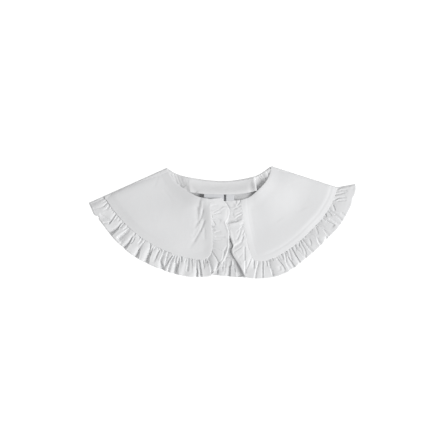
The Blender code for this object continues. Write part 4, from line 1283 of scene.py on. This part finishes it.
@dataclass
class Band(Sheet):
    """The neck band, laid on the back along its neck edge and puckered where the neck turns."""

    top: float = 3.0
    length: float = 200.0
    neck_roll: float = 1.1
    neck_roll_width: float = 2.2
    puckers: Rows = ()
    puckers_from: float = 3.0
    lift_power: float = 1.35
    lowest: float = 1.55

    def surface(self, across: np.ndarray, down: np.ndarray) -> Face:
        """Rule the band, roll its neck edge over, press the puckers in and lift its lower edge.

        Args:
            across: Shares from the band's left end to its right one.
            down: Shares from the neck edge to the lower edge.

        Returns:
            The face.
        """
        row = SmoothPath(NECK_BAND).at(across)
        plan = row[:, :2] * (1.0 - down[:, None]) + row[:, 2:4] * down[:, None]
        width = np.hypot(*(row[:, 2:4] - row[:, :2]).T)
        from_neck = down * width
        depth, drawn = FoldSet(self.puckers, steep=0.85, lip=0.0).read(plan)
        raised = row[:, 4] + (row[:, 5] - row[:, 4]) * ease(down) ** self.lift_power
        top = self.top - self.neck_roll * fade(from_neck, self.neck_roll_width) + raised
        top = np.maximum(top - depth * ease(from_neck / self.puckers_from), self.lowest)
        along = across * self.length
        edge = np.column_stack([along, np.minimum(from_neck, width - from_neck)])
        return Face(np.column_stack([plan + drawn, top]), np.column_stack([along, from_neck]), edge)


@dataclass
class Label(Sheet):
    """A bare woven label that hangs from under the band's lower edge."""

    left: float = 0.0
    right: float = 10.0
    upper: float = 45.2
    lower: float = 22.0
    upper_top: float = 8.6
    lower_top: float = 3.4
    slope_end: float = 34.0
    edge_roll: float = 0.25
    edge_roll_width: float = 0.8

    def surface(self, across: np.ndarray, down: np.ndarray) -> Face:
        """Lay the label down from the band with softly rolled edges.

        Args:
            across: Shares from the left edge to the right one.
            down: Shares from the upper end to the lower one.

        Returns:
            The face.
        """
        x = self.left + (self.right - self.left) * across
        y = self.upper + (self.lower - self.upper) * down
        gap = np.minimum(x - self.left, self.right - x)
        slope = ease((y - self.slope_end) / (self.upper - self.slope_end))
        top = self.lower_top + (self.upper_top - self.lower_top) * slope
        top = top - self.edge_roll * fade(gap, self.edge_roll_width)
        plan = np.column_stack([x, y])
        return Face(np.column_stack([plan, top]), plan, np.column_stack([y, gap]))


@dataclass
class Studio:
    """Floor, light and camera, in metres and degrees; field_width, aim and sensor are millimetres."""

    field_width: float = 712.0
    aim: tuple = (0.16, -0.24)
    height: float = 3.0
    sensor: float = 36.0
    far_clip: float = 20.0
    floor_size: float = 8.0
    floor_cells: int = 8
    floor_level: float = -0.0003
    sky: float = 0.47
    sky_colour: tuple = (1.0, 1.0, 1.0, 1.0)
    key_power: float = 56.5
    key_size: float = 1.3
    key_distance: float = 2.6
    key_elevation: float = 39.0
    key_azimuth: float = -20.0

    def floor(self) -> bpy.types.Object:
        """Lay a wide pale floor just under the cloth.

        Returns:
            The floor.
        """
        bpy.ops.object.select_all(action="DESELECT")
        bpy.ops.mesh.primitive_grid_add(
            x_subdivisions=self.floor_cells, y_subdivisions=self.floor_cells, size=self.floor_size,
            location=(0.0, 0.0, self.floor_level),
        )
        floor = bpy.context.object
        floor.name = "floor"
        floor.data.materials.append(Paper().make())
        return floor

    def light(self) -> None:
        """Light evenly from all round, with one broad soft light on the right, a little in front."""
        world = bpy.data.worlds.new("soft_room")
        world.use_nodes = True
        background = world.node_tree.nodes["Background"]
        background.inputs["Color"].default_value = self.sky_colour
        background.inputs["Strength"].default_value = self.sky
        bpy.context.scene.world = world
        elevation, azimuth = math.radians(self.key_elevation), math.radians(self.key_azimuth)
        level = self.key_distance * math.cos(elevation)
        raised = self.key_distance * math.sin(elevation)
        place = (level * math.cos(azimuth), level * math.sin(azimuth), raised)
        bpy.ops.object.light_add(type="AREA", location=place)
        key = bpy.context.object
        key.name = "key_light"
        key.data.size = self.key_size
        key.data.energy = self.key_power
        key.rotation_euler = (0.0, math.pi / 2.0 - elevation, azimuth)

    def camera(self) -> None:
        """Look straight down with a long lens."""
        bpy.ops.object.camera_add(location=(self.aim[0] * MM, self.aim[1] * MM, self.height))
        camera = bpy.context.object
        camera.name = "camera"
        camera.rotation_euler = (0.0, 0.0, 0.0)
        camera.data.sensor_width = self.sensor
        camera.data.lens = self.sensor * self.height / (self.field_width * MM)
        camera.data.clip_end = self.far_clip
        bpy.context.scene.camera = camera
        bpy.context.scene.view_settings.view_transform = "Standard"


def main() -> None:
    """Build the collar and its studio."""
    logging.basicConfig(level=logging.INFO, format="%(name)s %(message)s")
    studio = Studio()
    studio.camera()
    studio.light()
    studio.floor()

    left_fold = ShoulderFold(BACK_NECK[0], LEFT_RUFFLE[0])
    right_fold = ShoulderFold(BACK_NECK[-1], RIGHT_RUFFLE[0])
    right_end_fold = ShoulderFold(RIGHT_RUFFLE[0][:2], RIGHT_RUFFLE[0][2:4])
    left_lift = NeckLift(LEFT_FRONT_NECK)
    right_lift = NeckLift(RIGHT_FRONT_NECK)
    panel_cotton = Cotton("panel_cotton", stitch_rows=(1.2,))
    ruffle_cotton = Cotton("ruffle_cotton", crumple_height=0.32, stitch_rows=(2.2,))
    # The back ruffle's cotton is the same white cotton painted darker, as painted shade for the gap between
    # the two front ruffles where it lies.
    shaded_ruffle_cotton = Cotton(
        "ruffle_cotton_painted_shade", colour=(0.72, 0.723, 0.73, 1.0), shade=(0.69, 0.693, 0.702, 1.0),
        crumple_height=0.32, stitch_rows=(2.2,),
    )
    # The band's cotton is the same white cotton as the panels, painted a little lighter as painted light on
    # the band.
    band_cotton = Cotton(
        "band_cotton", colour=(0.79, 0.793, 0.799, 1.0), shade=(0.76, 0.763, 0.771, 1.0), stitch_rows=(1.6,),
    )
    # The labels' grey is painted shade: the tape is darkened for the shadow it hangs in under the band's
    # lower edge.
    tape = Cotton("label_tape", colour=(0.65, 0.66, 0.675, 1.0), shade=(0.62, 0.63, 0.65, 1.0))
    on_back = ("back_panel_cloth",)

    Back(
        "back_panel_cloth", ("back_panel",), "panel_cotton", Held.LAID, flat=(0.375, 0.150), area=0.0375,
        finish=panel_cotton, columns=240, rows=70, fold_left=left_fold, fold_right=right_fold,
    ).build()
    Band(
        "neck_band_cloth", ("neck_band",), "band_cotton", Held.LAID, flat=(0.190, 0.022), area=0.0038,
        finish=band_cotton, columns=320, rows=36, rests_on=on_back, puckers=BAND_PUCKERS,
    ).build()
    Label(
        "label_wide_tape", ("label_wide",), "label_tape", Held.LAID, flat=(0.0315, 0.0216), area=0.00068,
        finish=tape, columns=40, rows=24, rests_on=on_back, left=-29.4, right=2.1, lower=23.6,
        upper_top=9.4, slope_end=25.0,
    ).build()
    Label(
        "label_small_tape", ("label_small",), "label_tape", Held.LAID, flat=(0.0125, 0.0176), area=0.00022,
        finish=tape, columns=20, rows=24, rests_on=on_back, left=6.1, right=18.6, lower=27.6,
        slope_end=28.0,
    ).build()
    Ruffle(
        "back_ruffle_cloth", ("back_ruffle",), "ruffle_cotton", Held.GATHERED, flat=(0.64, 0.030),
        area=0.0192, finish=shaded_ruffle_cotton, columns=860, rows=36, table=BACK_RUFFLE, folds=BACK_FOLDS,
        seed=11, root_drop=0.8, lowest=0.05, edge_roll=0.3,
    ).build()
    Front(
        "front_panel_left_cloth", ("front_panel_left",), "panel_cotton", Held.FOLDED, flat=(0.200, 0.150),
        area=0.0163, finish=panel_cotton, columns=210, rows=130, rests_on=on_back, lift=left_lift,
        seam_rows=LEFT_RUFFLE, hem_share=0.705, creases=LEFT_CREASES, fold=left_fold, fold_inset=6.4,
        front_rise=2.0, shoulder_drop=2.95, shoulder_reach=3.4,
        waves=((20.0, 220.0, 1.6, 0.83), (110.0, 58.0, 0.24, 0.4), (65.0, 96.0, 0.4, 0.7)),
    ).build()
    Front(
        "front_panel_right_cloth", ("front_panel_right",), "panel_cotton", Held.FOLDED, flat=(0.180, 0.155),
        area=0.0153, finish=panel_cotton, columns=210, rows=130, rests_on=on_back, lift=right_lift,
        seam_rows=RIGHT_RUFFLE, hem_share=0.672, creases=RIGHT_CREASES, fold=right_fold,
        allowance_groove=0.12, allowance_height=0.36, shoulder_drop=0.5, shoulder_reach=3.0, neck_roll=0.1,
        waves=(
            (-20.0, 240.0, 1.7, 0.65), (160.0, 80.0, 0.25, 0.2), (70.0, 62.0, 0.22, 0.5),
            (115.0, 100.0, 0.34, 0.0),
        ),
    ).build()
    Ruffle(
        "ruffle_right_cloth", ("ruffle_right",), "ruffle_cotton", Held.GATHERED, flat=(0.47, 0.030),
        area=0.0141, finish=ruffle_cotton, columns=1100, rows=40, table=RIGHT_RUFFLE, folds=RIGHT_FOLDS,
        fold_scale=0.62, nicks=RIGHT_NICKS, fold=right_end_fold, bow=2.6, seed=5, tip_drop=0.5,
        edge_roll=0.4, lift=right_lift, lift_fall=0.8, gather_depth=0.4, root_drop=1.5,
    ).build()
    Ruffle(
        "ruffle_left_cloth", ("ruffle_left",), "ruffle_cotton", Held.GATHERED, flat=(0.48, 0.030),
        area=0.0144, finish=ruffle_cotton, columns=1100, rows=40, table=LEFT_RUFFLE, folds=LEFT_FOLDS,
        nicks=LEFT_NICKS, fold=left_fold, seed=3, lift=left_lift,
    ).build()


if __name__ == "__main__":
    main()
